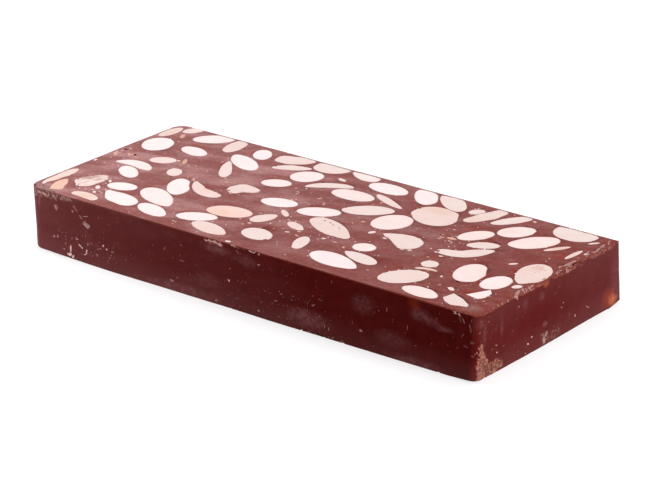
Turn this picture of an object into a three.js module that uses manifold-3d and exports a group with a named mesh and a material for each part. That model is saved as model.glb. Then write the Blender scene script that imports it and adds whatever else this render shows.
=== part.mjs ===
// A bar of chocolate turron: one slab of chocolate, full of whole blanched almonds.
// Its top face is sawn flat, so the almonds there show as pale slices, level with the chocolate.
// Millimetres. X runs along the bar, Y across it, Z up. The bar lies on its flat foot at z = 0.

import * as THREE from 'three';
import { mergeVertices } from 'three/addons/utils/BufferGeometryUtils.js';
import Module from 'manifold-3d';

const wasm = await Module();
wasm.setup();

// The bar
const LENGTH = 200; // of the top face, along X
const WIDTH = 86; // of the top face, along Y
const HEIGHT = 23.5;
const FOOT_OUT = { right: 1, left: -2, back: 1.5, front: 1.5 }; // how far the foot passes the top edge
const CORNER = { frontLeft: 5, frontRight: 2.5, backRight: 1.5, backLeft: 5 }; // radii in plan
const FOOT_ROUND = 1; // rounding where the sides meet the foot

// The almonds
const GAP = 0.3; // all round each almond, in its pocket
const SKIN = 0.4; // chocolate between the side of the bar and the nearest pocket
const DEPTH_SHARE = 0.5; // depth of a kernel below the saw cut, as a share of its width
const DEPTH_LEAST = 1.8;
const DEPTH_MOST = 6;
const FACET = 2.3; // rough length of one facet along a kernel's rim
const FACETS_LEAST = 10;
const FACETS_MOST = 20;
const WALL_SHARE = 0.84; // width left at the shoulder of a kernel
const WALL_DEPTH = 0.6; // depth of that shoulder, as a share of the kernel's depth
const CLEAR = 1; // how far a cutter reaches past what it cuts

const BLANCHED = 0xf3e2dc;
const TOASTED = 0xe6c3b0;

// Each row is one almond: x and y of its middle on the top face, its length, its width, and
// its turn in degrees from X. The last entry, where there is one, says how it differs from an oval:
//   taper  narrows the end that the turn points to, and widens the other
//   point  sharpens that end
//   bend   lifts both ends, in mm, to make a crescent
//   flat   what is left of the width on the side that the bend leaves
//   cut    a straight break, at [direction in degrees, distance from the middle]
//   toast  a browner kernel
const ALMONDS = [
  // along the front edge
  [-97.4, -28.3, 20.5, 4.4, 92, {}],
  [-91.1, -35.7, 13.6, 5.6, 118, { taper: 0.3, toast: true }],
  [-85.5, -25, 15.5, 9.2, 75, { taper: 0.1 }],
  [-72.2, -22.6, 12.2, 8, 15, {}],
  [-65, -32.3, 18.4, 9.2, 165, { taper: 0.2, point: 0.2 }],
  [-54.8, -22.9, 21.2, 10, -28, { taper: 0.2, point: 0.3 }],
  [-48, -34, 16, 7.8, -20, { taper: 0.1 }],
  [-31.2, -29.4, 15.2, 8.2, 27, {}],
  [-20.2, -35.3, 16.8, 7.8, -12, { taper: 0.1, point: 0.2 }],
  [-24.9, -18.4, 17.8, 10.6, 14, { toast: true }],
  [-11.3, -15.7, 11.6, 6.5, 70, { taper: 0.2, point: 0.2 }],
  [-3.4, -29.4, 13.4, 9.8, -15, {}],
  [32.8, -32.3, 21.8, 10, -9, { taper: 0.2, point: 0.3 }],
  [38.6, -25, 16.8, 6.8, 166, { taper: 0.2, point: 0.3 }],
  [33.9, -16.4, 9.2, 8, 15, {}],
  [60.4, -29.7, 18.5, 12, 50, {}],
  [72.8, -37.5, 15.3, 8.8, -6, { flat: 0.8 }],
  [76.4, -13, 17.3, 11, -78, {}],
  [88.3, -15, 13.8, 9.5, 85, {}],

  // down the middle
  [-83.8, -3.2, 17, 9.6, 0, { flat: 0.2, bend: -1.2 }],
  [-80.7, -9.4, 13.6, 7, -37, {}],
  [-55.8, -9.9, 17, 8.8, -57, {}],
  [-46, -7, 19, 5.8, -23, { taper: -0.3, bend: 2 }],
  [-35.7, 1.7, 12.3, 9.2, 35, {}],
  [-16.6, -0.2, 14.8, 8.6, 14, {}],
  [0.5, 1, 16.6, 9, 27, {}],
  [13.3, -8.8, 23, 9.8, -24, { taper: 0.1, point: 0.2 }],
  [40.3, -3.6, 17.5, 12.4, 172, { taper: 0.2, point: 0.3, cut: [232, 3] }],
  [64.1, 1.2, 19.8, 6.8, 39, { bend: 2.6 }],
  [65.7, 10.6, 11.6, 6, 30, {}],
  [93.9, -1.3, 20.3, 11.4, -79, { taper: 0.15, point: 0.3 }],

  // along the back edge
  [-97.2, 34.2, 13, 5, 87, {}],
  [-92.1, 20.4, 15.2, 12, -73, {}],
  [-78.6, 37.7, 16.8, 9, 38, {}],
  [-76, 22.8, 13, 7.5, -12, {}],
  [-67.1, 36.5, 15, 6.8, -82, {}],
  [-53.1, 35.6, 11.5, 7.4, -57, {}],
  [-53, 24.7, 18.4, 8.5, -30, {}],
  [-53.7, 14.6, 16.8, 4.4, -57, { taper: -0.25 }],
  [-39.4, 38.1, 16, 8.4, 28, { taper: 0.15 }],
  [-35.5, 31, 15.4, 4.6, 30, {}],
  [-30, 14.9, 12, 8, 25, {}],
  [-25.3, 27.1, 13, 11.4, 50, {}],
  [-23.2, 40.2, 15, 11.6, 20, {}],
  [-12.5, 24.3, 18.6, 4.8, 33, { bend: -1.8 }],
  [-8.9, 42, 16, 8.8, -28, {}],
  [-0.1, 22, 18, 9.6, 3, {}],
  [6.2, 35.2, 17.8, 9.6, -3, {}],
  [13.5, 13.1, 18.6, 9.4, 35, {}],
  [21.8, 37.2, 17, 8.6, -55, {}],
  [27.1, 8.9, 16.8, 13.5, 75, {}],
  [33.1, 38.2, 18.8, 8.4, -39, {}],
  [35.7, 23.1, 19.8, 16, -33, {}],
  [50.4, 34.6, 19.5, 6.5, 72, { taper: -0.1 }],
  [60.2, 36.6, 17, 5.6, 60, {}],
  [58.1, 16.5, 14.6, 8.2, 60, {}],
  [67.3, 28, 14.4, 10, 55, {}],
  [78.2, 23.6, 19, 10.6, 55, {}],
  [84.9, 39.6, 17.4, 14.4, 0, {}],
];

const chocolate = new THREE.MeshStandardMaterial({ color: 0x5c2a26, roughness: 0.42, metalness: 0 });
const blanched = new THREE.MeshStandardMaterial({ color: BLANCHED, roughness: 0.6, metalness: 0 });
const toasted = new THREE.MeshStandardMaterial({ color: TOASTED, roughness: 0.6, metalness: 0 });

function solidOf(geometry) {
  const bare = geometry.clone();
  bare.deleteAttribute('normal');
  bare.deleteAttribute('uv');
  const merged = mergeVertices(bare, 1e-4);
  return new wasm.Manifold(new wasm.Mesh({
    numProp: 3,
    vertProperties: new Float32Array(merged.attributes.position.array),
    triVerts: new Uint32Array(merged.index.array),
  }));
}

function geometryOf(solid) {
  const mesh = solid.getMesh();
  const geometry = new THREE.BufferGeometry();
  geometry.setAttribute('position', new THREE.BufferAttribute(new Float32Array(mesh.vertProperties), 3));
  geometry.setIndex(new THREE.BufferAttribute(new Uint32Array(mesh.triVerts), 1));
  const faceted = geometry.toNonIndexed();
  faceted.computeVertexNormals();
  return faceted;
}

// Moves every corner of a geometry: change is a function that edits one THREE.Vector3.
function reshape(geometry, change) {
  const places = geometry.attributes.position;
  const point = new THREE.Vector3();
  for (let i = 0; i < places.count; i++) {
    point.fromBufferAttribute(places, i);
    change(point);
    places.setXYZ(i, point.x, point.y, point.z);
  }
  return geometry;
}

// The plan of the top face, drawn in by `inset` all round.
function topPlan(inset) {
  const x = LENGTH / 2 - inset;
  const y = WIDTH / 2 - inset;
  const plan = new THREE.Shape();
  const corners = [
    [x, -y, CORNER.frontRight, -90],
    [x, y, CORNER.backRight, 0],
    [-x, y, CORNER.backLeft, 90],
    [-x, -y, CORNER.frontLeft, 180],
  ];
  for (const [cornerX, cornerY, fullRadius, start] of corners) {
    const radius = Math.max(fullRadius - inset, 0.5);
    const centreX = cornerX - Math.sign(cornerX) * radius;
    const centreY = cornerY - Math.sign(cornerY) * radius;
    const from = THREE.MathUtils.degToRad(start);
    plan.absarc(centreX, centreY, radius, from, from + Math.PI / 2, false);
  }
  plan.closePath();
  return plan;
}

// The slab of chocolate before it has pockets. Its sides lean out to the foot, or in on the left.
function slab() {
  const body = new THREE.ExtrudeGeometry(topPlan(FOOT_ROUND), {
    depth: HEIGHT,
    curveSegments: 5,
    bevelSize: FOOT_ROUND,
    bevelThickness: FOOT_ROUND,
    bevelSegments: 3,
  });
  body.translate(0, 0, FOOT_ROUND);
  reshape(body, (p) => {
    const fall = 1 - p.z / HEIGHT;
    const toRight = p.x / LENGTH + 0.5;
    const toBack = p.y / WIDTH + 0.5;
    p.x += fall * THREE.MathUtils.lerp(-FOOT_OUT.left, FOOT_OUT.right, toRight);
    p.y += fall * THREE.MathUtils.lerp(-FOOT_OUT.front, FOOT_OUT.back, toBack);
  });
  const waste = new THREE.BoxGeometry(2 * LENGTH, 2 * WIDTH, HEIGHT);
  waste.translate(0, 0, 1.5 * HEIGHT);
  return solidOf(body).subtract(solidOf(waste));
}

// The space that almonds may fill: inside the sides of the bar by `inset`, at any height.
function inside(inset) {
  const space = new THREE.ExtrudeGeometry(topPlan(inset), {
    depth: 2 * HEIGHT,
    curveSegments: 5,
    bevelEnabled: false,
  });
  return solidOf(space);
}

// The part of one kernel under the saw cut, grown all round by `grow`, up to `rise` above the cut.
function kernel([x, y, length, width, turn, form], grow, rise) {
  const { taper = 0, point = 0, bend = 0, flat = 1, cut } = form;
  const halfLength = length / 2 + grow;
  const halfWidth = width / 2 + grow;
  const depth = THREE.MathUtils.clamp(DEPTH_SHARE * width, DEPTH_LEAST, DEPTH_MOST) + grow;
  const facets = THREE.MathUtils.clamp(2 * Math.round(length / FACET), FACETS_LEAST, FACETS_MOST);
  const profile = [
    new THREE.Vector2(0, -depth),
    new THREE.Vector2(WALL_SHARE, -WALL_DEPTH * depth),
    new THREE.Vector2(1, 0),
  ];
  if (rise > 0) profile.push(new THREE.Vector2(1, rise));
  profile.push(new THREE.Vector2(0, rise));
  const body = new THREE.LatheGeometry(profile, facets);
  body.rotateX(Math.PI / 2);
  reshape(body, (p) => {
    const reach = Math.hypot(p.x, p.y);
    if (reach < 1e-6) {
      p.set(0, -bend / 2, p.z);
      return;
    }
    const c = p.x / reach;
    const s = p.y / reach;
    const side = s < 0 ? flat : 1;
    const sharp = 1 + point * (1 + c) / 2;
    const across = Math.sign(s) * Math.abs(s) ** sharp * (1 - taper * c) * side;
    p.x = reach * c * halfLength;
    p.y = reach * across * halfWidth + bend * ((reach * c) ** 2 - 0.5);
  });
  body.rotateZ(THREE.MathUtils.degToRad(turn));
  body.translate(x, y, HEIGHT);
  let solid = solidOf(body);
  if (cut) {
    const [direction, distance] = cut;
    const size = 2 * length;
    const waste = new THREE.BoxGeometry(size, size, size);
    waste.translate(distance + grow + size / 2, 0, 0);
    waste.rotateZ(THREE.MathUtils.degToRad(direction));
    waste.translate(x, y, HEIGHT);
    solid = solid.subtract(solidOf(waste));
  }
  return solid;
}

// All pieces are drawn about the middle of the top face, then set so that the
// middle of the whole bar's box stands over the origin.
const bar = new THREE.Group();
bar.position.x = -FOOT_OUT.right / 2;

const pocketSpace = inside(SKIN);
const almondSpace = inside(SKIN + GAP);
let block = slab();

ALMONDS.forEach((row, index) => {
  const pocket = kernel(row, GAP, CLEAR).intersect(pocketSpace);
  block = block.subtract(pocket);
  const almond = kernel(row, 0, 0).intersect(almondSpace);
  const mesh = new THREE.Mesh(geometryOf(almond), row[5].toast ? toasted : blanched);
  mesh.name = `almond_${String(index + 1).padStart(2, '0')}`;
  bar.add(mesh);
});

const blockMesh = new THREE.Mesh(geometryOf(block), chocolate);
blockMesh.name = 'chocolate_block';
bar.add(blockMesh);

export default bar;
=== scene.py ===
# %% [markdown]
# # Chocolate turron
# A turron is a flat block of chocolate with whole almonds in it. This one is
# about 20 cm long. It was poured into a mould, and its top was sliced off
# with a saw, so the top shows the almonds cut through, and the sides show
# nothing but moulded chocolate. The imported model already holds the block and
# its 59 large almonds at their true places. This script dresses them: it
# loads the model as a fixed frame, and everything else is placed from it.

# %% Frame
import math
import random

import bmesh
import bpy
from mathutils import Matrix, Vector
from mathutils.bvhtree import BVHTree


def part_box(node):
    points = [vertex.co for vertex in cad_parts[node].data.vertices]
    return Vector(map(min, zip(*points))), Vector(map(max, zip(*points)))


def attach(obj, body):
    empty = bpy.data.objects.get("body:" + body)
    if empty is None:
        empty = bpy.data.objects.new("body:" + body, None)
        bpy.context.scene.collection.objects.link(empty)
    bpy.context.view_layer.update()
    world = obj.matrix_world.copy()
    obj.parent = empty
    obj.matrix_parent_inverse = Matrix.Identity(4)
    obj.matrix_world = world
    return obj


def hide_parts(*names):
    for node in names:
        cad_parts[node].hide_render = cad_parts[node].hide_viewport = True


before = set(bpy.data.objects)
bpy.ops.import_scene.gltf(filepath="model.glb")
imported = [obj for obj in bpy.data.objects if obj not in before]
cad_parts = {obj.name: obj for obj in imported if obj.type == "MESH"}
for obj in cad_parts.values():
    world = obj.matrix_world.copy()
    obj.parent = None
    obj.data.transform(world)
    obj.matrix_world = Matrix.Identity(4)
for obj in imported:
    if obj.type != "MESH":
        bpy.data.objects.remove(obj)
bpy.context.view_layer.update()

MM = 0.001
BLOCK_LOW, BLOCK_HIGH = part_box("chocolate_block")
TOP = BLOCK_HIGH.z
KERNELS = sorted(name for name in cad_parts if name.startswith("almond_"))
print("block from", [round(c / MM, 1) for c in BLOCK_LOW],
      "to", [round(c / MM, 1) for c in BLOCK_HIGH], "mm,", len(KERNELS), "almonds")

# %% [markdown]
# ## Camera
# The block is seen from its front right, from a little above, with a long
# lens, so its edges run almost parallel. The camera is placed by the way it
# looks: an azimuth round the block, an elevation above the floor, and a point
# that it looks at.

# %% Camera
AZIMUTH, ELEVATION, ROLL = (math.radians(d) for d in (37.58, 21.67, 0.17))
LOOKS_AT = Vector((-11.44, 19.53, 0.22)) * MM
DISTANCE = 1.0735

bpy.ops.object.camera_add()
camera = bpy.context.object
camera.name = "camera"
camera.data.lens = 161.8
camera.data.sensor_width = 36
back = Vector((math.sin(AZIMUTH) * math.cos(ELEVATION),
               -math.cos(AZIMUTH) * math.cos(ELEVATION), math.sin(ELEVATION)))
right = back.cross(Vector((0, 0, 1))) * -1
right.normalize()
up = back.cross(right)
turned = Matrix.Rotation(ROLL, 3, back)
columns = (turned @ right, turned @ up, back)
camera.matrix_world = Matrix.Translation(LOOKS_AT + back * DISTANCE) @ Matrix(
    [[column[row] for column in columns] for row in range(3)]).to_4x4()
bpy.context.scene.camera = camera
print("camera at", [round(c, 3) for c in camera.matrix_world.translation], "m")

# %% [markdown]
# ## Small helpers
# An operator acts on all that is selected, so the first helper leaves only
# the named pieces selected. The others open a piece in edit mode, pick faces
# or edges by where they are, cut a part off, and apply a modifier. CLOSE is
# the distance within which two corners count as one.

# %% Helpers
CLOSE = 0.002 * MM


def only(*pieces):
    """Selects these pieces alone, and makes the last one active."""
    if bpy.context.object and bpy.context.object.mode != "OBJECT":
        bpy.ops.object.mode_set(mode="OBJECT")
    bpy.ops.object.select_all(action="DESELECT")
    for piece in pieces:
        piece.hide_set(False)
        piece.select_set(True)
    bpy.context.view_layer.objects.active = pieces[-1]


def edit(piece):
    """Opens a piece in edit mode, with nothing selected."""
    only(piece)
    bpy.ops.object.mode_set(mode="EDIT")
    bpy.ops.mesh.select_all(action="DESELECT")


def close():
    """Leaves edit mode."""
    bpy.ops.object.mode_set(mode="OBJECT")


def pick(kind, test):
    """In edit mode, selects the faces, edges or vertices that pass a test."""
    data = bpy.context.object.data
    bpy.ops.mesh.select_all(action="DESELECT")
    bpy.ops.mesh.select_mode(type={"faces": "FACE", "edges": "EDGE",
                                   "verts": "VERT"}[kind])
    mesh = bmesh.from_edit_mesh(data)
    mesh.normal_update()
    found = 0
    for element in getattr(mesh, kind):
        if test(element):
            element.select_set(True)
            found += 1
    mesh.select_flush_mode()
    bmesh.update_edit_mesh(data)
    return found


def apply(piece, kind, **values):
    """Adds a modifier with these values, and applies it."""
    only(piece)
    modifier = piece.modifiers.new(kind.lower(), kind)
    for key, value in values.items():
        setattr(modifier, key, value)
    bpy.ops.object.modifier_apply(modifier=modifier.name)


def settle():
    """Moves the active piece's place, turn and size into its mesh."""
    bpy.ops.object.transform_apply(location=True, rotation=True, scale=True)


def clouds(name, size, depth=2):
    """A cloudy texture for Displace modifiers. size is in metres."""
    texture = bpy.data.textures.new(name, "CLOUDS")
    texture.noise_scale = size
    texture.noise_depth = depth
    return texture


def cut_off(point, outwards, snap=0.1 * MM):
    """In edit mode, cuts away all that lies past a plane, and closes the cut.

    Corners within snap of the plane are taken as lying on it.
    """
    bpy.ops.mesh.select_all(action="SELECT")
    bpy.ops.mesh.bisect(plane_co=point, plane_no=outwards, threshold=snap,
                        clear_outer=True, use_fill=True)


def smooth(piece):
    """Shades a piece smooth, but keeps its sharp edges."""
    only(piece)
    bpy.ops.object.shade_smooth_by_angle(angle=math.radians(32))


def skin_of(piece):
    """A piece's skin, to be asked for its nearest point."""
    return BVHTree.FromObject(piece, bpy.context.evaluated_depsgraph_get())


def middle(edge):
    """The middle of an edge."""
    return (edge.verts[0].co + edge.verts[1].co) / 2

# %% [markdown]
# ## The block, cast and leaning
# The mould's walls lean, so the block is wider at its foot: by 1.5 mm at the
# front and about 1 mm at the back and right, while the left wall leans the
# other way by more than 2 mm. A cube is added at the size of the sawn top, its
# bottom face is resized and shifted, the back right corner is drawn out half a
# millimetre, and the four upright edges are bevelled with four different
# radii, because each corner came out of the mould differently.

# %% The cast block
LENGTH, WIDTH = 200.4 * MM, 86.4 * MM
FOOT_LENGTH, FOOT_WIDTH = 199 * MM, 89 * MM
FOOT_SHIFT = (1.7 * MM, -0.2 * MM, 0)
DRAWN_OUT = 0.5 * MM
MIDDLE_X, MIDDLE_Y = -0.7 * MM, 0.2 * MM
TOP_SHIFT = -0.5 * MM
CORNERS = {(-1, -1): 5.4 * MM, (1, -1): 2.5 * MM, (1, 1): 0.6 * MM, (-1, 1): 5 * MM}
SPARE = 0.4 * MM

bpy.ops.mesh.primitive_cube_add(
    size=1, location=(MIDDLE_X, MIDDLE_Y, TOP / 2),
    scale=(LENGTH, WIDTH, TOP + 2 * SPARE))
block = bpy.context.object
block.name = "turron_block"
settle()
edit(block)
pick("faces", lambda face: face.normal.z < -0.5)
bpy.ops.transform.resize(value=(FOOT_LENGTH / LENGTH, FOOT_WIDTH / WIDTH, 1),
                         center_override=(MIDDLE_X, MIDDLE_Y, -SPARE))
bpy.ops.transform.translate(value=FOOT_SHIFT)
pick("verts", lambda vert: vert.co.x > 0 and vert.co.y > 0 and vert.co.z > TOP / 2)
bpy.ops.transform.translate(value=(DRAWN_OUT, 0, 0))
for (side_x, side_y), radius in CORNERS.items():
    pick("edges", lambda edge: abs(edge.verts[0].co.z - edge.verts[1].co.z) > 0.01
         and middle(edge).x * side_x > 0.08 and middle(edge).y * side_y > 0.03)
    steps = max(2, min(6, round(1.5 * radius / MM)))
    bpy.ops.mesh.bevel(offset=radius, segments=steps, affect="EDGES")
print("cast block:", len(bmesh.from_edit_mesh(block.data).verts), "corners")

# %% [markdown]
# Chocolate walls are never quite flat. To give them gentle waves the block
# needs many small faces, so it is sliced into cells of about 7 mm, and each
# cell is divided three times by a simple Subdivision Surface. Two cloudy
# textures then push the skin in and out by a few tenths of a millimetre.
# After that the block is cut flat at the top, as the saw did, and at the foot.
# Under three of its corners the block doesn't quite reach the floor, so each
# of these gets a slanting cut of about a millimetre.

# %% Waves in the walls
CELL = 7.2 * MM


def slice_along(axis, start, stop, step):
    """Cuts the open mesh with planes at equal steps along one axis."""
    count = round((stop - start) / step)
    normal = Vector([float(a == axis) for a in range(3)])
    for i in range(1, count):
        bpy.ops.mesh.select_all(action="SELECT")
        bpy.ops.mesh.bisect(plane_co=normal * (start + (stop - start) * i / count),
                            plane_no=normal)
    return count - 1


cuts = (slice_along(0, -LENGTH / 2, LENGTH / 2, CELL)
        + slice_along(1, -WIDTH / 2, WIDTH / 2, CELL) + slice_along(2, 0, TOP, CELL))
close()
apply(block, "SUBSURF", subdivision_type="SIMPLE", levels=3, render_levels=3)
apply(block, "DISPLACE", texture=clouds("long_waves", 26 * MM, 0),
      texture_coords="LOCAL", strength=0.55 * MM, mid_level=0.5)
apply(block, "DISPLACE", texture=clouds("short_waves", 5 * MM, 1),
      texture_coords="LOCAL", strength=0.16 * MM, mid_level=0.5)
edit(block)
for height, side in ((0, -1), (TOP, 1)):
    cut_off((0, 0, height), (0, 0, side), CLOSE)

# three points of each slanting cut under a corner, in mm
LIFTED = (((-100.5, -44.5, 0.9), (-60, -44.5, 0), (-100.5, -20, 0)),
          ((100.5, -44.5, 0.5), (100.5, -34, 0), (90, -44.5, 0)),
          ((100.5, 44.5, 1.2), (90, 44.5, 0), (100.5, 37, 0)))
for points in LIFTED:
    first, second, third = (Vector(point) * MM for point in points)
    cut_off(first, (third - first).cross(second - first).normalized(), CLOSE)
print(cuts, "slices;", len(bmesh.from_edit_mesh(block.data).faces), "faces")

# %% [markdown]
# The foot is rounded a little by the mould, and the sawn rim is crisp but
# not razor sharp: a rim of a third of a millimetre catches the light as a
# thin bright line, which is what makes an edge look like chocolate.

# %% Rim and foot
def is_rim(side):
    """A test for the edges of the top, with side 1, or of the foot, with -1."""
    def test(edge):
        level = [face.normal.z * side > 0.99 for face in edge.link_faces]
        return (len(level) == 2 and level[0] != level[1]
                and edge.calc_face_angle(0) > math.radians(50))
    return test


PANE = 6.3 * MM
FOOT_ROUND, RIM_ROUND = 0.25 * MM, 0.3 * MM


def is_sawn(face):
    """A test for the flat faces that the saw left."""
    return (face.normal.z > 0.98
            and abs(face.calc_center_median().z - TOP) < 0.05 * MM)


foot_edges = pick("edges", is_rim(-1))
bpy.ops.mesh.bevel(offset=FOOT_ROUND, segments=2, affect="EDGES")
rim_edges = pick("edges", is_rim(1))
bpy.ops.mesh.bevel(offset=RIM_ROUND, segments=2, affect="EDGES")
for axis, reach in ((0, LENGTH / 2), (1, WIDTH / 2)):
    normal = Vector([float(a == axis) for a in range(3)])
    for i in range(-int(reach / PANE), int(reach / PANE) + 1):
        pick("faces", is_sawn)
        bpy.ops.mesh.bisect(plane_co=normal * (i * PANE), plane_no=normal)
close()
print(foot_edges, "foot edges and", rim_edges, "rim edges bevelled")

# %% [markdown]
# ## Almonds cut by the saw
# Every large almond is a CAD node with a true outline, but few faces. A
# merged copy of each one becomes the visible almond. Its flat cut is joined
# to one face and pulled 1 mm up, so that the same mesh can later serve as the
# tool that cuts its own hollow into the block. A Subdivision Surface smooths
# the outline, and a Displace with a fine cloudy texture takes away its
# perfect ellipse, because a real kernel is a little uneven. The smoothing
# shrinks a kernel by a hair, so most of them are grown by a fifth of a
# millimetre first.

# %% Almond bodies from the frame
PULL = 1 * MM
uneven = clouds("uneven_kernel", 3.5 * MM, 1)
jagged = clouds("jagged_kernel", 0.9 * MM, 1)


def merged_copy(node, name):
    """A new object with a merged copy of a CAD node's loose triangles."""
    piece = bpy.data.objects.new(name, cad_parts[node].data.copy())
    bpy.context.scene.collection.objects.link(piece)
    edit(piece)
    bpy.ops.mesh.select_all(action="SELECT")
    bpy.ops.mesh.remove_doubles(threshold=CLOSE)
    return piece


def is_cut_face(face):
    """The flat face that the saw left, at the top of the block."""
    return face.normal.z > 0.99 and face.calc_center_median().z > TOP - 0.4 * MM


SLIM = ("almond_14", "almond_15", "almond_16", "almond_17", "almond_48")


def kernel_body(node):
    """The whole kernel, reaching a little above the saw cut."""
    piece = merged_copy(node, node.replace("almond", "kernel"))
    pick("faces", is_cut_face)
    bpy.ops.mesh.dissolve_faces()
    pick("faces", is_cut_face)
    bpy.ops.mesh.extrude_region_move(
        TRANSFORM_OT_translate={"value": (0, 0, PULL)})
    close()
    apply(piece, "SUBSURF", levels=2, render_levels=2)
    if node not in SLIM:
        apply(piece, "DISPLACE", strength=0.2 * MM, mid_level=0)
    apply(piece, "DISPLACE", texture=uneven, texture_coords="LOCAL",
          strength=0.34 * MM, mid_level=0.22)
    return piece


bodies = {node: kernel_body(node) for node in KERNELS}
print(len(bodies), "almond bodies,", sum(len(b.data.polygons) for b in bodies.values()),
      "faces")

# %% [markdown]
# No kernel is a perfect oval. Where its outline has a tip, a dent or a blunt
# end, a few of its vertices are grabbed and moved, and their neighbours follow
# a part of the way. What would reach past the back wall is cut off. Places on
# the sawn top are given in millimetres from its middle.

# %% Fitting the outlines
def at(x, y, z=0.0):
    """A place in millimetres from the middle of the sawn top, as a vector."""
    return Vector((x * MM + TOP_SHIFT, y * MM, TOP + z * MM))


def grab(piece, x, y, by_x, by_y, reach=3.6):
    """Moves the skin at x, y by some mm; the skin within reach follows."""
    edit(piece)
    spot = at(x, y)
    nearest = min((v.co - spot).length for v in bmesh.from_edit_mesh(piece.data).verts)
    pick("verts", lambda vert: (vert.co - spot).length < nearest + 0.3 * MM)
    bpy.ops.transform.translate(
        value=(by_x * MM, by_y * MM, 0), use_proportional_edit=True,
        proportional_edit_falloff="SMOOTH", proportional_size=reach * MM)
    close()


GRABS = {
    1: [(-95.8, -30, -0.7, 0), (-96, -35, -1.3, 0)],
    2: [(-87.9, -41.7, -1.4, 1.2), (-88.5, -35.5, -1, -0.2), (-94.3, -29.7, 0.4, 0.9),
        (-88.5, -39, -1, 0)],
    3: [(-88.6, -31, 0.9, 0.7), (-82.2, -30, 0.3, -0.3), (-81.5, -25, -0.4, 0)],
    5: [(-73.5, -29.5, -0.3, 0.8), (-63, -36.8, 0.2, 0.5), (-72, -32, 0.5, 0.3)],
    7: [(-52.4, -29.3, 0, -0.3)],
    8: [(-24.3, -26, 0.4, 0.1)],
    9: [(-28.4, -34.2, -0.5, -0.2)],
    18: [(80.6, -18, 0.6, -0.1), (79.3, -8.8, -0.5, -0.3)],
    20: [(-80, -4.6, 0.2, -0.5)],
    22: [(-53.5, -6.5, -0.6, -0.5), (-52, -17, 0.2, -0.4)],
    23: [(-46.5, -5, -0.3, -0.8), (-54.5, -2.8, -0.2, 0.6), (-38.2, -8.4, -0.2, 0.6)],
    24: [(-38.5, 6, -0.5, 1), (-30.6, 3.4, 0.9, 0.7), (-32.4, -1.6, -1.4, 1.1),
         (-40.6, -1.4, 0.4, 0.4)],
    27: [(4, -6.5, -0.5, -0.2), (23, -12.6, 0.8, -0.2)],
    28: [(33.3, -2.2, -1.2, -0.5), (48.6, -2, -0.2, 0.2)],
    29: [(56, -1.5, -0.5, 0.5), (61, 3, 0.5, -0.6), (70.6, 8, 0.6, 0.4)],
    30: [(61.4, 8.2, -0.4, -0.5)],
    31: [(99, -3, 0.3, 0), (96.6, -9.4, -0.7, 0.4)],
    38: [(-61, 29, -0.5, 0.4)],
    39: [(-58.6, 21.6, -0.2, 0.9)],
    40: [(-46, 40, -0.9, 0.4), (-42.5, 34.2, 0.2, 0.5)],
    41: [(-38, 33.6, -0.3, 0.5), (-29, 33.5, 0.2, 0)],
    49: [(6, 8, -0.7, -0.1), (21, 17, 0.5, 0.1)],
    50: [(16.6, 40, -0.4, 0), (26.4, 34.6, 0.5, 0.1)],
    53: [(41, 30.5, 0.5, 0.5), (27, 21, -0.5, 0)],
    54: [(46.8, 27.4, -0.9, -0.4), (48.8, 38, 0.5, 0), (53.5, 34, 0.5, 0)],
    55: [(56, 30, -0.5, -0.1)],
    57: [(70.6, 33.6, 0.3, 0.4)],
    58: [(72.5, 18, -0.5, -0.3)],
}
for number, rows in GRABS.items():
    for row in rows:
        grab(bodies[f"almond_{number:02d}"], *row)

BACK = 43.1 * MM
for piece in bodies.values():
    if max(vert.co.y for vert in piece.data.vertices) > BACK:
        edit(piece)
        cut_off((0, BACK, 0), (0, 1, 0), CLOSE)
        close()
print(sum(map(len, GRABS.values())), "places grabbed on", len(GRABS), "kernels")

# %% [markdown]
# Some kernels aren't whole: their ends are ragged, or chocolate fills a
# little hollow in them. Each of these is a bite out of the kernel, cut by a
# small rough stone. The stones are used one at a time, because a tool of many
# overlapping stones can empty a whole kernel.

# %% Bites
def joined(pieces, name):
    """Joins pieces into the last one."""
    only(*pieces)
    if len(pieces) > 1:
        bpy.ops.object.join()
    bpy.context.object.name = name
    return bpy.context.object


stone_skin = clouds("stone_skin", 1.1 * MM, 2)


def stones(places, name, roughness=0.5, faces=3):
    """Rough stones, one for each (place, size in mm along x, y and z)."""
    made = []
    for place, size in places:
        bpy.ops.mesh.primitive_ico_sphere_add(
            subdivisions=faces, radius=1, location=place,
            scale=[s * MM for s in size])
        settle()
        made.append(bpy.context.object)
    stone = joined(made, name)
    mean = sum(min(size) for _, size in places) / len(places)
    apply(stone, "DISPLACE", texture=stone_skin, texture_coords="GLOBAL",
          strength=roughness * mean * MM, mid_level=0.5)
    return stone


def carve(piece, tool):
    """Takes the tool's space out of the piece, and removes the tool."""
    apply(piece, "BOOLEAN", operation="DIFFERENCE", object=tool,
          solver="MANIFOLD", material_mode="INDEX")
    bpy.data.objects.remove(tool)


BITES = {
    "almond_03": [(-88.4, -20.8, 0.8), (-90.6, -26.6, 0.9), (-86.7, -17.6, 1),
                  (-82.2, -18.4, 0.8), (-84.7, -16.8, 0.9), (-88.4, -31.2, 0.9),
                  (-89.8, -23.6, 0.4), (-81.2, -21.6, 0.5), (-85.4, -32.6, 0.6)],
    "almond_12": [(2.7, -32.4, 0.9), (1.2, -33.9, 0.7), (3.3, -28.2, 0.5)],
    "almond_24": [(-38.8, -1.9, 0.6)],
    "almond_25": [(-14, -4.6, 0.5), (-11, -3.6, 0.4)],
    "almond_27": [(19.6, -15.2, 0.5), (22.4, -15, 0.5)],
    "almond_29": [(56, -3.6, 0.9), (58.9, -6.4, 0.8), (61.4, -6, 0.5)],
    "almond_41": [(-41.4, 28.9, 0.5), (-42.6, 26.5, 0.5)],
    "almond_49": [(5.4, 10.5, 0.5), (5.2, 7.9, 0.5)],
    "almond_53": [(26.7, 26.4, 0.6)],
}
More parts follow.
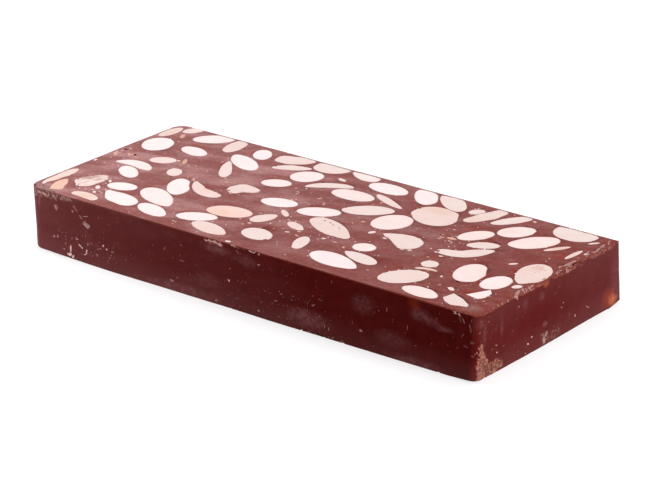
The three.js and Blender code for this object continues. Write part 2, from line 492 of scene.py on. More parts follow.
for node, places in BITES.items():
    for x, y, r in places:
        carve(bodies[node], stones([(at(x, y), (r, r, 3))], "bite", 0.6))
print(sum(map(len, BITES.values())), "bites in", len(BITES), "almonds")

# %% [markdown]
# ## Smaller pieces of almond
# Between the large almonds lie smaller cuts: slivers, half-moons and shards.
# A sphere is scaled to a piece's length and width, tapered and bent by Simple
# Deform, trimmed by straight cuts where the piece broke, and roughened.

# %% Smaller almonds
def loose_body(name, x, y, length, width, turn, taper=0, sag=0, trims=(),
               depth=1.8, rings=14, ragged=0.3):
    """A small kernel or fragment, reaching above and below the saw cut.

    sag bends it, in mm. Each trim is a point on the saw cut and the direction,
    in degrees, in which everything past that point is taken away.
    """
    bpy.ops.mesh.primitive_uv_sphere_add(
        segments=2 * rings, ring_count=rings, radius=0.5, location=(0, 0, 0),
        scale=(length * MM, width * MM, 2 * depth * MM))
    piece = bpy.context.object
    piece.name = name
    settle()
    if taper:
        apply(piece, "SIMPLE_DEFORM", deform_method="TAPER", deform_axis="X",
              factor=-2 * taper)
    if sag:
        apply(piece, "SIMPLE_DEFORM", deform_method="BEND", deform_axis="Z",
              angle=8 * sag / length)
    piece.rotation_euler.z = math.radians(turn)
    piece.location = at(x, y)
    settle()
    edit(piece)
    for point, way in trims:
        way = math.radians(way)
        cut_off(at(*point), (math.cos(way), math.sin(way), 0))
    close()
    apply(piece, "DISPLACE", texture=uneven, texture_coords="LOCAL",
          strength=ragged * MM, mid_level=0.45)
    apply(piece, "DISPLACE", texture=jagged, texture_coords="LOCAL",
          strength=0.6 * ragged * MM, mid_level=0.5)
    return piece


SMALL_ALMONDS = [
    (-76.4, -38.4, 12.3, 6.2, -5, {"trims": [((-76.4, -40.2), -95)]}),
    (-66.9, 0.6, 8.1, 5.6, -55, {}),
    (-78.7, 7.9, 10.2, 6.6, 30, {}),
    (-91, 40.6, 9, 5.5, 60, {"trims": [((-91, 43), 90)]}),
    (2.6, -15.2, 9.6, 3.8, -22, {"ragged": 0.9}),
    (13.8, -26.5, 12, 5.2, -70, {"ragged": 0.5}),
    (60.9, -15, 6.3, 6.1, 0, {}),
    (62.7, -19.2, 8.6, 1.7, 15, {"sag": -1}),
    (89.8, -26.7, 12, 9, 75, {"trims": [((87.8, -26.2), 153), ((91.8, -22.7), 40),
                                        ((93, -26.7), 3), ((91.8, -30.3), -30),
                                        ((88.8, -30.1), -100)]}),
    (86.8, -35.1, 14, 9, -30, {"trims": [((84.9, -31.3), 55), ((89.5, -34), 68),
                                         ((82, -34.1), 170), ((92.3, -36.6), 10),
                                         ((82.4, -37.1), 225), ((90.5, -39), -70)]}),
    (14.1, 24.6, 16.8, 3.6, -23, {"sag": 0.4, "taper": 0.2}),
    (45.1, 35.7, 6.3, 4.8, 60, {}),
    (87.5, 23.6, 10.2, 2.4, 57, {}),
    (95.1, 22.4, 10, 2, 87, {}),
]
small_bodies = [
    loose_body(f"small_almond_{i:02d}", *row, **extra)
    for i, (*row, extra) in enumerate(SMALL_ALMONDS, 1)]
print(len(small_bodies), "smaller almonds")

# %% [markdown]
# Finer still are the fragments, a few millimetres long, and the crumbs of
# about a millimetre. They are made the same way with fewer faces, and each
# kind is joined into one piece.

# %% Fragments and crumbs in the cut
FRAGMENTS = [
    (-8.3, -7.5, 7, 2.3, -38), (27.5, -3.3, 3.2, 2, 75), (34.4, -5.2, 1.8, 1.2, 0),
    (79.6, -28.8, 3.2, 1.8, -30), (95.9, -13.7, 4, 2.8, 60), (-12.8, 32.3, 4.2, 2, -18),
    (94.8, 35.7, 4.4, 1.4, 52), (83.3, 2.6, 3.4, 1.5, 50), (-79.3, -21.2, 2.8, 1.1, -50),
    (-78.7, -28.7, 3.7, 1.7, -50), (-76.3, -33.3, 2, 1.2, -55), (-73.7, 11, 1.5, 1, 0),
    (-99, -7.3, 2, 1, 90), (17.7, -18.5, 1.6, 1.1, 30), (-6.8, -41.2, 2.2, 1.4, 10),
    (59.7, -6.8, 1.7, 1, 20), (56.2, -4.6, 1.6, 0.9, 10), (70.7, -21.9, 1.2, 0.9, 0),
    (98, 25.4, 1.6, 1, 80), (67, 40.3, 1.2, 1, 0), (47.9, -8.9, 1.6, 1, 40),
    (45.3, -9.9, 1.3, 0.8, 10), (3.8, -21.4, 1.8, 0.8, 20),
]
WARM_FRAGMENTS = [
    (-90.3, 33, 4.5, 2, -65), (-71.3, 11.8, 5.5, 1.6, -62), (53, 9, 3.8, 2, 5),
    (-93, 5, 3.5, 1.2, -50), (-97.3, 2.3, 3.8, 1.4, -60), (-56.2, -1, 3.2, 0.9, -50),
    (-12, -23, 1.6, 1, 20), (-13.5, -25, 1, 0.8, 0), (-7.7, 11.8, 1.4, 0.9, 40),
    (-45, 4.3, 1.6, 1, 0), (49.3, 8, 1.2, 0.8, 0), (54.2, 6.6, 1.1, 0.7, 20),
    (28.3, -21, 1.6, 0.9, -60), (18.8, 3, 1.6, 1, 0), (8.5, -22, 2.4, 0.8, -20),
    (-3, 8.5, 2.4, 0.8, -75), (6.8, -18.6, 1.3, 1, 0), (99.2, -2.2, 2, 0.9, -70),
]


def fragments(rows, name):
    """Joined fragments, from rows of place, length, width and turn."""
    made = [loose_body("fragment", *row, depth=0.6, rings=6,
                       ragged=min(0.35, 0.22 * row[3])) for row in rows]
    return joined(made, name)


fragment_bodies = [fragments(FRAGMENTS, "almond_fragments"),
                   fragments(WARM_FRAGMENTS, "skin_fragments")]
print([len(piece.data.polygons) for piece in fragment_bodies], "faces")

# %% [markdown]
# ## Hollows in the block
# Where two almonds touch, one is cut back by a hair, so that a thin wall of
# chocolate stays between them. Then copies of all the bodies are joined into
# one tool, and one Boolean cuts the hollows of the almonds into the block.
# Every tool carries the finish that the new faces take: the sawn top, the
# moulded wall or broken chocolate.

# %% Cutting the hollows
def part_neighbours(pieces, gap=0.12):
    """Where two bodies touch, leaves a thin wall of chocolate between them."""
    trees = [skin_of(piece) for piece in pieces]
    touching = [(i, j) for i in range(len(pieces)) for j in range(i)
                if trees[i].overlap(trees[j])]
    for i, j in touching:
        tool = copy_of(pieces[j])
        apply(tool, "DISPLACE", strength=gap * MM, mid_level=0)
        carve(pieces[i], tool)
    print(len(touching), "pairs of neighbours parted")


SAWN, MOULDED, BROKEN = range(3)
finishes = [bpy.data.materials.new(name)
            for name in ("sawn_chocolate", "moulded_chocolate", "broken_chocolate")]


def give_finish(piece, number):
    """Gives a piece the three finishes, with one of them on all its faces."""
    piece.data.materials.clear()
    for finish in finishes:
        piece.data.materials.append(finish)
    piece.data.polygons.foreach_set("material_index",
                                    [number] * len(piece.data.polygons))


def copy_of(piece):
    """A copy of a piece with its own mesh."""
    copy = bpy.data.objects.new(piece.name + "_copy", piece.data.copy())
    bpy.context.scene.collection.objects.link(copy)
    return copy


all_bodies = [*bodies.values(), *small_bodies, *fragment_bodies]
part_neighbours(all_bodies)
hollows = joined([copy_of(piece) for piece in all_bodies], "hollows")
give_finish(block, MOULDED)
give_finish(hollows, MOULDED)
carve(block, hollows)
print("with its hollows the block has", len(block.data.polygons), "faces")

# %% [markdown]
# ## Chips and pits in the block
# Then the damage is cut: chips along the rim where the saw tore the
# chocolate, a crumbled edge at the front left, and a shallow flake that broke
# off low beside the near corner. Small rough stones are strewn at random along
# stretches of the edges, and the flake is a heap of flat ones. A few dark pits
# in the sawn face are cut by single stones.

# %% Cutting chips and pits
rng = random.Random(8)


def along(start, end, count, size, spread=0.4, flat=1.0):
    """Places and sizes of chips strewn along a line, in mm of the sawn top."""
    rows = []
    for _ in range(count):
        t = rng.random()
        place = at(*(a + (b - a) * t + rng.gauss(0, spread)
                     for a, b in zip(start, end)))
        r = size * rng.uniform(0.4, 1.2)
        rows.append((place, (r * rng.uniform(0.8, 1.7), r * rng.uniform(0.8, 1.7),
                             r * flat * rng.uniform(0.6, 1.1))))
    return rows


DOWN = -23.5
STRETCHES = (
    ((-99.7, -40, 0.1), (-95.8, -42.9, -0.3), 10, 0.6, 0.3),
    ((-96, -43.2, -0.4), (-84, -43.4, -0.1), 30, 0.55, 0.4),
    ((-84, -43.4, 0.1), (-78, -43.3, 0.1), 8, 0.4, 0.25),
    ((-15.5, -43.6, -0.2), (-9, -43.6, -0.3), 10, 0.45, 0.2),
    ((-5, -43.4, 0.1), (9, -43.4, 0.1), 12, 0.45, 0.25),
    ((-80, -43.4, 0.2), (86, -43.4, 0.2), 26, 0.3, 0.2),
    ((86, -43.4, 0.1), (98.5, -43.4, 0.1), 10, 0.35, 0.25),
    ((99.5, -42.8, 0.1), (100.5, -34, 0.1), 8, 0.35, 0.25),
    ((100.5, -34, 0.2), (100.5, -21, 0.2), 12, 0.4, 0.3),
    ((100.5, -21, 0.1), (100.3, -9, 0), 16, 0.5, 0.35),
    ((100.5, 4, 0.1), (100.3, 19, 0), 18, 0.55, 0.35),
    ((100.5, 19, 0.1), (100.3, 42, 0), 28, 0.55, 0.35),
    ((-99.8, 43.5, 0.1), (99, 43.5, 0.1), 60, 0.45, 0.25),
    ((-100.6, -36, 0.1), (-100.6, 38, 0.1), 26, 0.4, 0.2),
    ((28, -44.7, DOWN + 0.3), (47, -44.7, DOWN + 0.3), 16, 0.6, 0.3),
    ((-83, -44.7, DOWN + 0.3), (90, -44.7, DOWN + 0.3), 20, 0.45, 0.3))
chips = [chip for stretch in STRETCHES for chip in along(*stretch)]
chips += [
    (at(101.1, y, DOWN + z), (0.75, long, high)) for y, z, long, high in (
        (-42.6, 3.8, 1.7, 2.2), (-41.8, 6.8, 1.4, 2), (-40.2, 9.6, 1, 1.7),
        (-39.7, 12, 0.6, 1.3), (-40, 4.6, 2.2, 2.6), (-37.9, 5.6, 1.5, 1.9),
        (-36.4, 3.2, 2.4, 1.8), (-33.4, 2.7, 2, 1.7), (-30.9, 2.4, 1.7, 1.4),
        (-29.2, 1.8, 1.1, 1.1), (-38, 1.6, 2.4, 1.1), (-34.3, 1.2, 2.8, 0.9),
        (-42.2, 1.5, 1.4, 0.9))]
damage = stones(chips, "damage", 0.55, 2)
give_finish(damage, BROKEN)
carve(block, damage)

pits = stones([(at(x, y), (r, 0.7 * r, r)) for x, y, r in (
    (-97.7, 8.4, 0.9), (-90.6, 5.7, 0.8), (-91.2, 6.4, 0.5), (77.5, -22.3, 0.7),
    (78.3, -22.6, 0.4), (97, 13, 0.6), (-95.6, -39.6, 0.5))], "pits", 0.5, 2)
give_finish(pits, MOULDED)
carve(block, pits)

smooth(block)
print(len(chips), "chips; the block now has", len(block.data.polygons), "faces")

# %% [markdown]
# The faces that lie level with the saw cut take the sawn finish.

# %% Sawn faces
edit(block)
sawn = pick("faces", is_sawn)
block.active_material_index = SAWN
bpy.ops.object.material_slot_assign()
close()
print(sawn, "sawn faces")

# %% [markdown]
# ## The saw's cut through the almonds
# Each body is now cut off a hair below the saw plane, its rim is bevelled by
# a tenth of a millimetre, and the flat face is inset. The inset gives an edge
# loop just inside the rim, so that a "rim" attribute can fade from the
# outline inwards: the skin side of a real kernel is a little darker there. A
# "tone" attribute makes some kernels whiter and others warmer.

# %% Flush almonds
RECESS = 0.03 * MM


def mark(piece, name, values):
    """Writes one value for each vertex of a piece under a name."""
    attribute = piece.data.attributes.new(name, "FLOAT", "POINT")
    attribute.data.foreach_set("value", values)


def at_cut(place):
    """Tells whether a place lies at the height of the flush cut."""
    return abs(place.z - TOP + RECESS) < CLOSE


def cut_flush(piece, rim=0.1, band=0.7):
    """Cuts a body at the saw plane, and marks its rim."""
    edit(piece)
    cut_off((0, 0, TOP - RECESS), (0, 0, 1))
    pick("edges", lambda edge: all(at_cut(vert.co) for vert in edge.verts)
         and len(edge.link_faces) == 2
         and edge.calc_face_angle(0) > math.radians(20))
    bpy.ops.mesh.bevel(offset=rim * MM, segments=1, affect="EDGES")
    pick("faces", lambda face: face.normal.z > 0.99
         and at_cut(face.calc_center_median()))
    bpy.ops.mesh.inset(thickness=band * MM, depth=0, use_even_offset=False)
    mesh = bmesh.from_edit_mesh(piece.data)
    inner = {v.index for face in mesh.faces if face.select for v in face.verts}
    close()
    mark(piece, "rim", [float(i not in inner) for i in range(len(piece.data.vertices))])
    smooth(piece)
    edit(piece)
    pick("faces", lambda face: abs(face.normal.z) > 0.99
         and at_cut(face.calc_center_median()))
    bpy.ops.mesh.faces_shade_flat()
    close()


def give_tone(piece, tone):
    """Marks a whole piece with its own tone, from 0 for white to 1 for warm."""
    mark(piece, "tone", [tone] * len(piece.data.vertices))


WHITEST = (4, 5, 7, 8, 12, 13, 14, 15, 21, 22, 25, 33, 35, 37, 38, 39, 41, 44, 45, 48,
           49, 50, 52, 55, 59)
WARMEST = (1, 2, 3, 9, 10, 11, 17, 18, 23, 24, 27, 31, 32, 36, 47, 51, 53, 54, 56, 57,
           58)
for number, piece in enumerate(bodies.values(), 1):
    cut_flush(piece)
    give_tone(piece, 0 if number in WHITEST else 0.7 if number in WARMEST else 0.3)
for piece in small_bodies:
    cut_flush(piece)
    give_tone(piece, 0.2)
for piece in fragment_bodies:
    cut_flush(piece, 0.05, 0.2)
print(len(all_bodies), "pieces cut flush with the top")

# %% [markdown]
# ## Crumbs, dust and scratches
# The saw threw dust about: white specks of almond on the walls, pinkish dots
# in the sawn face, brown crumbs where the block broke, and a few thin
# scratches where a crumb was dragged over the wall. Each kind is one mesh. One
# small stone is made and copied to every place, laid on the nearest point of
# the block, and turned along its skin.

# %% Strewing small things
block_skin = skin_of(block)


def strewn(name, rows, faces=1, sink=0.15, skin=block_skin):
    """One mesh of lumps on the block. A row is a place, a size and a turn.

    The place is a vector, the size is along, across and out of the skin in
    mm, and the turn is in degrees from the level.
    """
    bpy.ops.mesh.primitive_ico_sphere_add(subdivisions=faces, radius=0.5)
    lump = bpy.context.object
    gathered = bmesh.new()
    for place, size, turn in rows:
        spot, normal, _, _ = skin.find_nearest(place)
        size = Vector(size) * MM
        matrix = (Matrix.Translation(spot - normal * size.z * sink)
                  @ normal.to_track_quat("Z", "Y").to_matrix().to_4x4()
                  @ Matrix.Rotation(math.radians(turn), 4, "Z")
                  @ Matrix.Diagonal((*size, 1)))
        one = lump.data.copy()
        one.transform(matrix)
        gathered.from_mesh(one)
        bpy.data.meshes.remove(one)
    lump.name = name
    gathered.to_mesh(lump.data)
    gathered.free()
    apply(lump, "DISPLACE", texture=jagged, texture_coords="LOCAL",
          strength=0.12 * MM, mid_level=0.5)
    return lump


def on_front(x, z):
    """A place on the front wall, in mm along it and up from the floor."""
    return Vector((x * MM, BLOCK_LOW.y, z * MM))


def on_right(y, z):
    """A place on the right wall, in mm along it and up from the floor."""
    return Vector((BLOCK_HIGH.x, y * MM, z * MM))


def sprinkle(where, x_range, z_range, count, size, tall=0.0):
    """Rows of random specks on a wall; tall is the share of upright dashes."""
    rows = []
    for _ in range(count):
        r = size * rng.uniform(0.5, 1.3)
        long = rng.uniform(2, 3.4) if rng.random() < tall else rng.uniform(1, 1.6)
        rows.append((where(rng.uniform(*x_range), rng.uniform(*z_range)),
                     (r * long, r, 0.25 * r), rng.choice((90, 80, 100, 60, 20))))
    return rows


def marks(where, rows, thick=0.12):
    """Rows for strewn, from marks on a wall: place, length, width and turn."""
    return [(where(u, z), (long, wide, thick), turn) for u, z, long, wide, turn in rows]

# %% [markdown]
# Specks of almond are white, those of the saw's dust are grey, and the finest
# are faint. Most have a place of their own, and the rest are sprinkled at
# random over a part of a wall. A row holds the place along the wall and up
# from the floor, the length, the width and the turn.

# %% Specks on the walls
white_specks = strewn("white_specks", marks(on_front, (
    (-79.1, 4.2, 3.2, 0.9, 92), (-79.4, 1.9, 2, 1.4, 20), (-77.9, 1.4, 1.6, 1, 60),
    (-80.4, 1.8, 0.8, 0.7, 0), (-71.3, 4.9, 2.2, 0.6, 80), (-74.6, 6.4, 2, 0.5, -32),
    (-73.5, 5.8, 0.8, 0.7, 0), (-63.3, 9, 1.1, 0.6, 60), (-61.7, 8, 0.9, 0.6, -30),
    (-5, 10.2, 1.2, 0.6, -40), (-71.8, 3.6, 0.7, 0.5, 0), (92.6, 22.6, 1.2, 0.6, -50)), 0.3)
    + marks(on_right, (
        (-31.6, 6.9, 0.9, 0.5, -20), (-13.6, 3.9, 1.3, 0.7, -25),
        (-11.3, 5.7, 0.9, 0.6, -20), (15.4, 4.8, 0.7, 1.3, 0))), 2)

grey_marks = (
    sprinkle(on_front, (-84, -56), (2, 9.5), 24, 0.38, 0.5)
    + sprinkle(on_front, (13, 39), (6.5, 12), 20, 0.28)
    + marks(on_front, (
        (-85.6, 7.3, 1.2, 0.9, 50), (-87.5, 6.9, 1.3, 1.1, 0), (-82.3, 3.3, 0.9, 0.6, 0),
        (-76.2, 8.4, 1.2, 0.5, 10), (-64.8, 7.5, 1.3, 0.4, 10), (-60.1, 5.2, 0.9, 0.5, 90),
        (-78.5, 18.6, 1.2, 0.7, -40), (-72.2, 18.1, 3.2, 0.3, 12),
        (-31, 3.8, 2.2, 0.7, -12), (-10.4, 1.4, 1.7, 0.6, 20), (8, 19.2, 1, 0.7, 0),
        (8.7, 2.6, 1.5, 0.8, -20), (15.9, 8, 1.2, 0.5, 20), (32, 10.3, 0.9, 0.6, 0),
        (53, 6.6, 1.4, 1, 0), (37.5, 4.3, 2.2, 0.3, 88), (39.4, 3.6, 1.6, 0.3, 84),
        (94.4, 20.9, 2, 0.35, -62), (90.6, 22.9, 1.8, 0.4, -20)))
    + marks(on_right, (
        (-31.9, 9.6, 1.5, 0.6, -30), (-15.2, 1, 1, 0.6, 0), (7.8, 12, 1, 0.6, -20),
        (23.4, 5.2, 2.8, 0.5, -35), (6.8, 10.5, 0.9, 0.5, 0),
        (-18.6, 19, 1.2, 0.6, -10))))
wall_specks = strewn("wall_specks", grey_marks, 2)

faint_marks = (
    sprinkle(on_front, (-96, 98), (1, 21.5), 170, 0.36, 0.3)
    + sprinkle(on_front, (-90, -50), (1, 12), 70, 0.42, 0.3)
    + sprinkle(on_front, (-8, 40), (1, 12), 60, 0.4, 0.3)
    + sprinkle(on_right, (-42, 41), (1, 21.5), 90, 0.36, 0.3)
    + marks(on_front, (
        (-26.5, 12.3, 2.8, 0.5, 2), (-34.6, 15, 2.4, 0.6, 55), (-27, 18, 1.2, 0.7, 0),
        (-28.4, 5.4, 1.3, 0.8, 30), (-4.7, 14.7, 1.1, 0.9, 0), (-0.9, 4.6, 1.2, 0.8, 60),
        (-1.6, 21.7, 1.8, 0.8, -20), (17.8, 2.7, 1.3, 0.7, 0), (18.6, 11.2, 1.2, 0.7, 30),
        (23.1, 10.1, 1, 0.6, 20), (31.9, 13.8, 1, 0.5, 30), (63.2, 16.8, 2, 0.7, 90),
        (72, 12.5, 2.4, 0.6, 88), (98.4, 14, 1.8, 1.1, 10), (96, 12, 1.7, 0.6, -20),
        (94.4, 15.6, 2.2, 0.35, 60), (98.8, 9.2, 1.4, 0.9, 0), (-69, 8.5, 1.1, 0.8, 0),
        (97.8, 21.6, 1.8, 0.35, 80), (97, 19.4, 2.4, 0.45, -78)))
    + marks(on_right, (
        (-27.6, 8, 1.4, 0.7, 0), (-3, 8, 2, 1.1, 20), (-34.4, 9, 2, 0.5, 10),
        (5.4, 18.6, 2.2, 0.35, 8), (3, 16.9, 2.2, 0.35, 20), (-41.6, 17.2, 1.4, 0.9, 30),
        (-41, 21, 1.4, 0.7, 0), (-36.5, 19.6, 1.4, 0.7, -25))))
faint_specks = strewn("faint_specks", faint_marks, 1)
print(len(grey_marks), "grey and", len(faint_marks), "faint marks on the walls")

# %% [markdown]
# A crumb that is dragged over soft chocolate leaves a bundle of fine parallel
# lines that ends in a smear. Each bundle here is a few long thin lumps, laid
# side by side with small random shifts.

# %% Scratches
def bundle(x, z, turn, length, width, count, thin=0.32):
    """Rows of parallel lines in a strip of the front wall, in mm."""
    along_it = Vector((math.cos(math.radians(turn)), math.sin(math.radians(turn))))
    across = Vector((-along_it.y, along_it.x))
    rows = []
    for i in range(count):
        shift = (i / max(1, count - 1) - 0.5) * width
        spot = (Vector((x, z)) + across * shift
                + along_it * rng.uniform(-0.15, 0.15) * length)
        rows.append((on_front(*spot), (length * rng.uniform(0.5, 0.9), thin, 0.08), turn))
    return rows


scratch_rows = (
    bundle(-72.2, 15.3, -28, 4.6, 1.6, 6) + bundle(-71, 14.6, -32, 2.6, 1.4, 5, 0.4)
    + bundle(-86.8, 18.6, -52, 3.2, 1.1, 5) + bundle(-77.6, 20.4, -42, 5, 0.7, 3, 0.16)
    + bundle(-74.6, 17.3, -42, 3.4, 0.4, 2, 0.2)
    + bundle(93.2, 21.4, -60, 3.4, 0.7, 2, 0.13) + bundle(97.4, 18.6, -82, 4.6, 0.5, 2, 0.12))
scratches = strewn("scratches", scratch_rows, 2)
print(len(scratch_rows), "scratch lines")

# %% [markdown]
# The dots in the sawn face must miss the almonds. Where the nearest point of
# the block lies below the saw plane, there is a hollow, so that place is
# skipped.

# %% Dots in the sawn face
def on_top(x, y):
    """A place on the sawn face, or None where an almond lies."""
    place = at(x, y)
    _, normal, _, gap = block_skin.find_nearest(place)
    return place if gap < 0.05 * MM and normal.z > 0.9 else None


def dots(areas, size):
    """Rows of flat dots in the sawn face, from areas of x, y, spread and count."""
    rows = []
    for x, y, spread_x, spread_y, count in areas:
        for _ in range(count):
            place = on_top(max(-99, min(99, x + rng.uniform(-1, 1) * spread_x)),
                           max(-42.4, min(42.4, y + rng.uniform(-1, 1) * spread_y)))
            r = size * rng.uniform(0.45, 1.4)
            if place:
                rows.append((place, (r * rng.uniform(1, 2.2), r, 0.05),
                             rng.uniform(0, 180)))
    return rows


pale_rows = dots([(0, 0, 99, 42, 170), (-80, -28, 7, 6, 26), (-94, 4, 5, 8, 10),
                  (12, -15, 24, 8, 30), (78, -24, 16, 9, 20), (58, 4, 14, 8, 22),
                  (-8, 8, 14, 8, 14)], 0.42)
red_rows = dots([(0, 0, 99, 42, 110), (-12, -25, 6, 5, 8), (-30, 5, 30, 14, 26),
                 (56, 8, 10, 5, 16), (-90, 5, 8, 6, 10)], 0.55)
pale_dots = strewn("almond_dots", pale_rows, sink=0)
red_dots = strewn("skin_dots", red_rows, sink=0)
print(len(pale_rows), "pale dots and", len(red_rows), "red dots")

# %% [markdown]
# Along the rim the saw tore up thin pale flakes. They are strewn flat along
# short stretches, and each is turned roughly the way its stretch runs.

# %% Flakes along the rim
flake_rows = []
for start, end, count, size in (
        ((98.2, -14, 0), (99.8, -21.5, -0.1), 16, 0.8),
        ((99.3, -8.5, 0), (99.8, -15.5, 0), 12, 0.7),
        ((98.5, 17.6, 0), (98.2, 12.4, 0), 16, 0.9), ((97, 10.8, 0), (98, 9, 0), 7, 0.7),
        ((99.6, 12.6, -0.2), (100.2, 9.2, -0.4), 8, 0.6), ((99.3, 8, 0), (99.9, 4.4, -0.2), 9, 0.6),
        ((98, 41.5, 0), (98.8, 38.2, 0), 6, 0.6), ((98, 38, 0), (98.9, 33, 0), 12, 0.7),
        ((99.2, 32, 0), (99.7, 28, 0), 10, 0.7), ((98, 27, 0), (99.6, 24.2, -0.2), 9, 0.8),
        ((97.5, 30, 0), (97.8, 19, 0), 12, 0.5), ((-95, -43.4, -1.4), (-86, -43.6, -1.2), 8, 0.5),
        ((-15.8, -43.7, -0.8), (-9, -43.7, -1), 18, 0.6), ((-4, -43.1, 0), (-1, -43.2, 0), 6, 0.5),
        ((5, -43.4, -0.3), (9, -43.5, -0.6), 6, 0.5),
        ((90, -43.4, -0.2), (93, -43.5, -1.2), 6, 0.4),
        ((100.3, -34, 0), (100, -24, 0), 7, 0.4)):
    way = math.degrees(math.atan2(end[1] - start[1], end[0] - start[0]))
    for spot, (r, _, _) in along(start, end, count, size, 0.22):
        flake_rows.append((spot, (2.2 * r, 0.65 * r, 0.2 * r), way + rng.gauss(0, 18)))
flakes = strewn("pale_flakes", flake_rows, 2, 0)
print(len(flake_rows), "flakes")

# %% [markdown]
# Two kernels have marks of their own: one has a row of little dark pits, and
# one is crossed by fine creases. The pits are flat dark dots, whose darkness is
# partly chocolate and partly painted shade of the hollows. Both are laid on the
# kernel's own skin.

# %% Pits and creases
# partly chocolate, partly painted shade: flat dark dots stand for the hollows of the pits
pit_rows = [(at(x, y), (1.6 * r, r, 0.16), turn) for x, y, r, turn in (
    (7.3, -4.4, 0.6, 10), (10.2, -4.9, 0.5, -30), (10.9, -5.3, 0.3, 0),
    (12.3, -6, 0.55, -20), (15.8, -7, 0.45, -60), (16.6, -7.9, 0.3, 0))]
pit_dots = strewn("pit_dots", pit_rows, 2, 0, skin_of(bodies["almond_27"]))
crease_rows = [(at(x, y), (long, 0.26, 0.07), turn) for x, y, long, turn in (
    (93.6, 0.6, 1.6, 55), (94.4, 1.9, 1.2, 75), (93.6, -1.4, 1, 60), (90.6, 3.6, 1.8, 20),
    (92, 4.4, 1.8, 15), (93.5, 4.6, 1.8, 0), (95, 4.3, 1.6, -25), (91.4, 5.6, 1.6, 30),
    (93, 6, 1.6, 5))]
creases = strewn("almond_creases", crease_rows, 1, 0.2, skin_of(bodies["almond_31"]))
print(len(pit_rows), "pits and", len(crease_rows), "creases")

# %% [markdown]
# Crumbs of chocolate stick where it broke. What reaches past the foot, or
# more than a tenth of a millimetre above the top, is cut off the crumbs and
# off the specks and flakes.

# %% Crumbs
crumb_rows = []
for start, end, count, size in (
        ((-99.6, -40, 0), (-96, -43, -0.4), 12, 0.5),
        ((-96, -43.2, -0.4), (-84, -43.4, 0), 36, 0.5),
        ((-97, -43.6, -2.2), (-84, -43.6, -1), 30, 0.5),
        ((101, -42.6, DOWN + 12), (101, -40, DOWN + 3), 50, 0.5),
        ((101, -43, DOWN + 1.5), (101, -29, DOWN + 1.5), 60, 0.5),
        ((30, -44.5, DOWN + 0.8), (46, -44.5, DOWN + 0.8), 22, 0.4),
        ((100, 4, 0), (100, 19, 0), 20, 0.4), ((100, 20, 0), (100, 41, 0), 28, 0.4),
        ((100, -34, 0), (100, -9, 0), 22, 0.35), ((88, -43.1, 0), (97, -43.1, 0), 10, 0.3)):
    for place, (r, _, _) in along(start, end, count, size, 0.7):
        crumb_rows.append((place, (r, 0.9 * r, 0.7 * r), rng.uniform(0, 180)))
crumbs = strewn("chocolate_crumbs", crumb_rows)
for piece in (crumbs, flakes, white_specks, wall_specks, faint_specks):
    edit(piece)
    for height, side in ((0, -1), (TOP + 0.12 * MM, 1)):
        cut_off((0, 0, height), (0, 0, side))
    close()
print(len(crumb_rows), "crumbs")

# %% [markdown]
# ## Materials: shared effects
# All finishes use the same few effects, so each effect is a node group:
# cloudy patches, fine dots, a soft round patch at one place, and a grain that
# makes a height. A helper adds a node and sets or links its inputs by name.

# %% Node helpers
def add(tree, kind, settings=None, **inputs):
    """Adds a shader node. Inputs are values, or sockets to link."""
    made = tree.nodes.new("ShaderNode" + kind)
    for key, value in (settings or {}).items():
        setattr(made, key, value)
    for key, value in inputs.items():
        socket = made.inputs[int(key[1:]) if key[1:].isdigit() else key.replace("_", " ")]
        if isinstance(value, bpy.types.NodeSocket):
            tree.links.new(value, socket)
        else:
            socket.default_value = value
    return made


def between(tree, mask, first, second):
    """The first colour where the mask is 0, the second where it is 1."""
    first, second = (c if isinstance(c, bpy.types.NodeSocket) else (*c, 1)
                     for c in (first, second))
    return add(tree, "Mix", {"data_type": "RGBA"}, i0=mask, i6=first, i7=second).outputs[2]


def calc(tree, operation, first, second=0.0, clamp=False):
    """One sum on two values."""
    return add(tree, "Math", {"operation": operation, "use_clamp": clamp},
               i0=first, i1=second).outputs[0]


def times(tree, first, second):
    """The product of two values."""
    return calc(tree, "MULTIPLY", first, second)


def tint(tree, colour, mask, share, tone):
    """Lays a share of a tone over a colour where a mask is 1."""
    return between(tree, times(tree, mask, share), colour, tone)


def new_group(name, inputs, outputs):
    """An empty node group with these sockets; returns it with its two ends."""
    group = bpy.data.node_groups.new(name, "ShaderNodeTree")
    for label, kind, value in inputs:
        socket = group.interface.new_socket(label, in_out="INPUT",
                                            socket_type="NodeSocket" + kind)
        if value is not None:
            socket.default_value = value
    for label, kind in outputs:
        group.interface.new_socket(label, in_out="OUTPUT",
                                   socket_type="NodeSocket" + kind)
    return group, group.nodes.new("NodeGroupInput").outputs, group.nodes.new(
        "NodeGroupOutput").inputs


def use(tree, group, **inputs):
    """Places a node group in a tree, with its inputs set or linked."""
    return add(tree, "Group", {"node_tree": group}, **inputs).outputs[0]

# %% Cloudy patches and fine dots
patches, given, result = new_group(
    "cloudy_patches", [("Vector", "Vector", None), ("Size", "Float", 0.01),
                       ("Low", "Float", 0.4), ("High", "Float", 0.65),
                       ("Detail", "Float", 3.0)], [("Mask", "Float")])
cloud = add(patches, "TexNoise", Vector=given["Vector"],
            Scale=calc(patches, "DIVIDE", 1.0, given["Size"]), Detail=given["Detail"],
            Roughness=0.6)
mask = add(patches, "MapRange", {"interpolation_type": "SMOOTHSTEP"},
           Value=cloud.outputs["Fac"], From_Min=given["Low"], From_Max=given["High"])
patches.links.new(mask.outputs[0], result["Mask"])

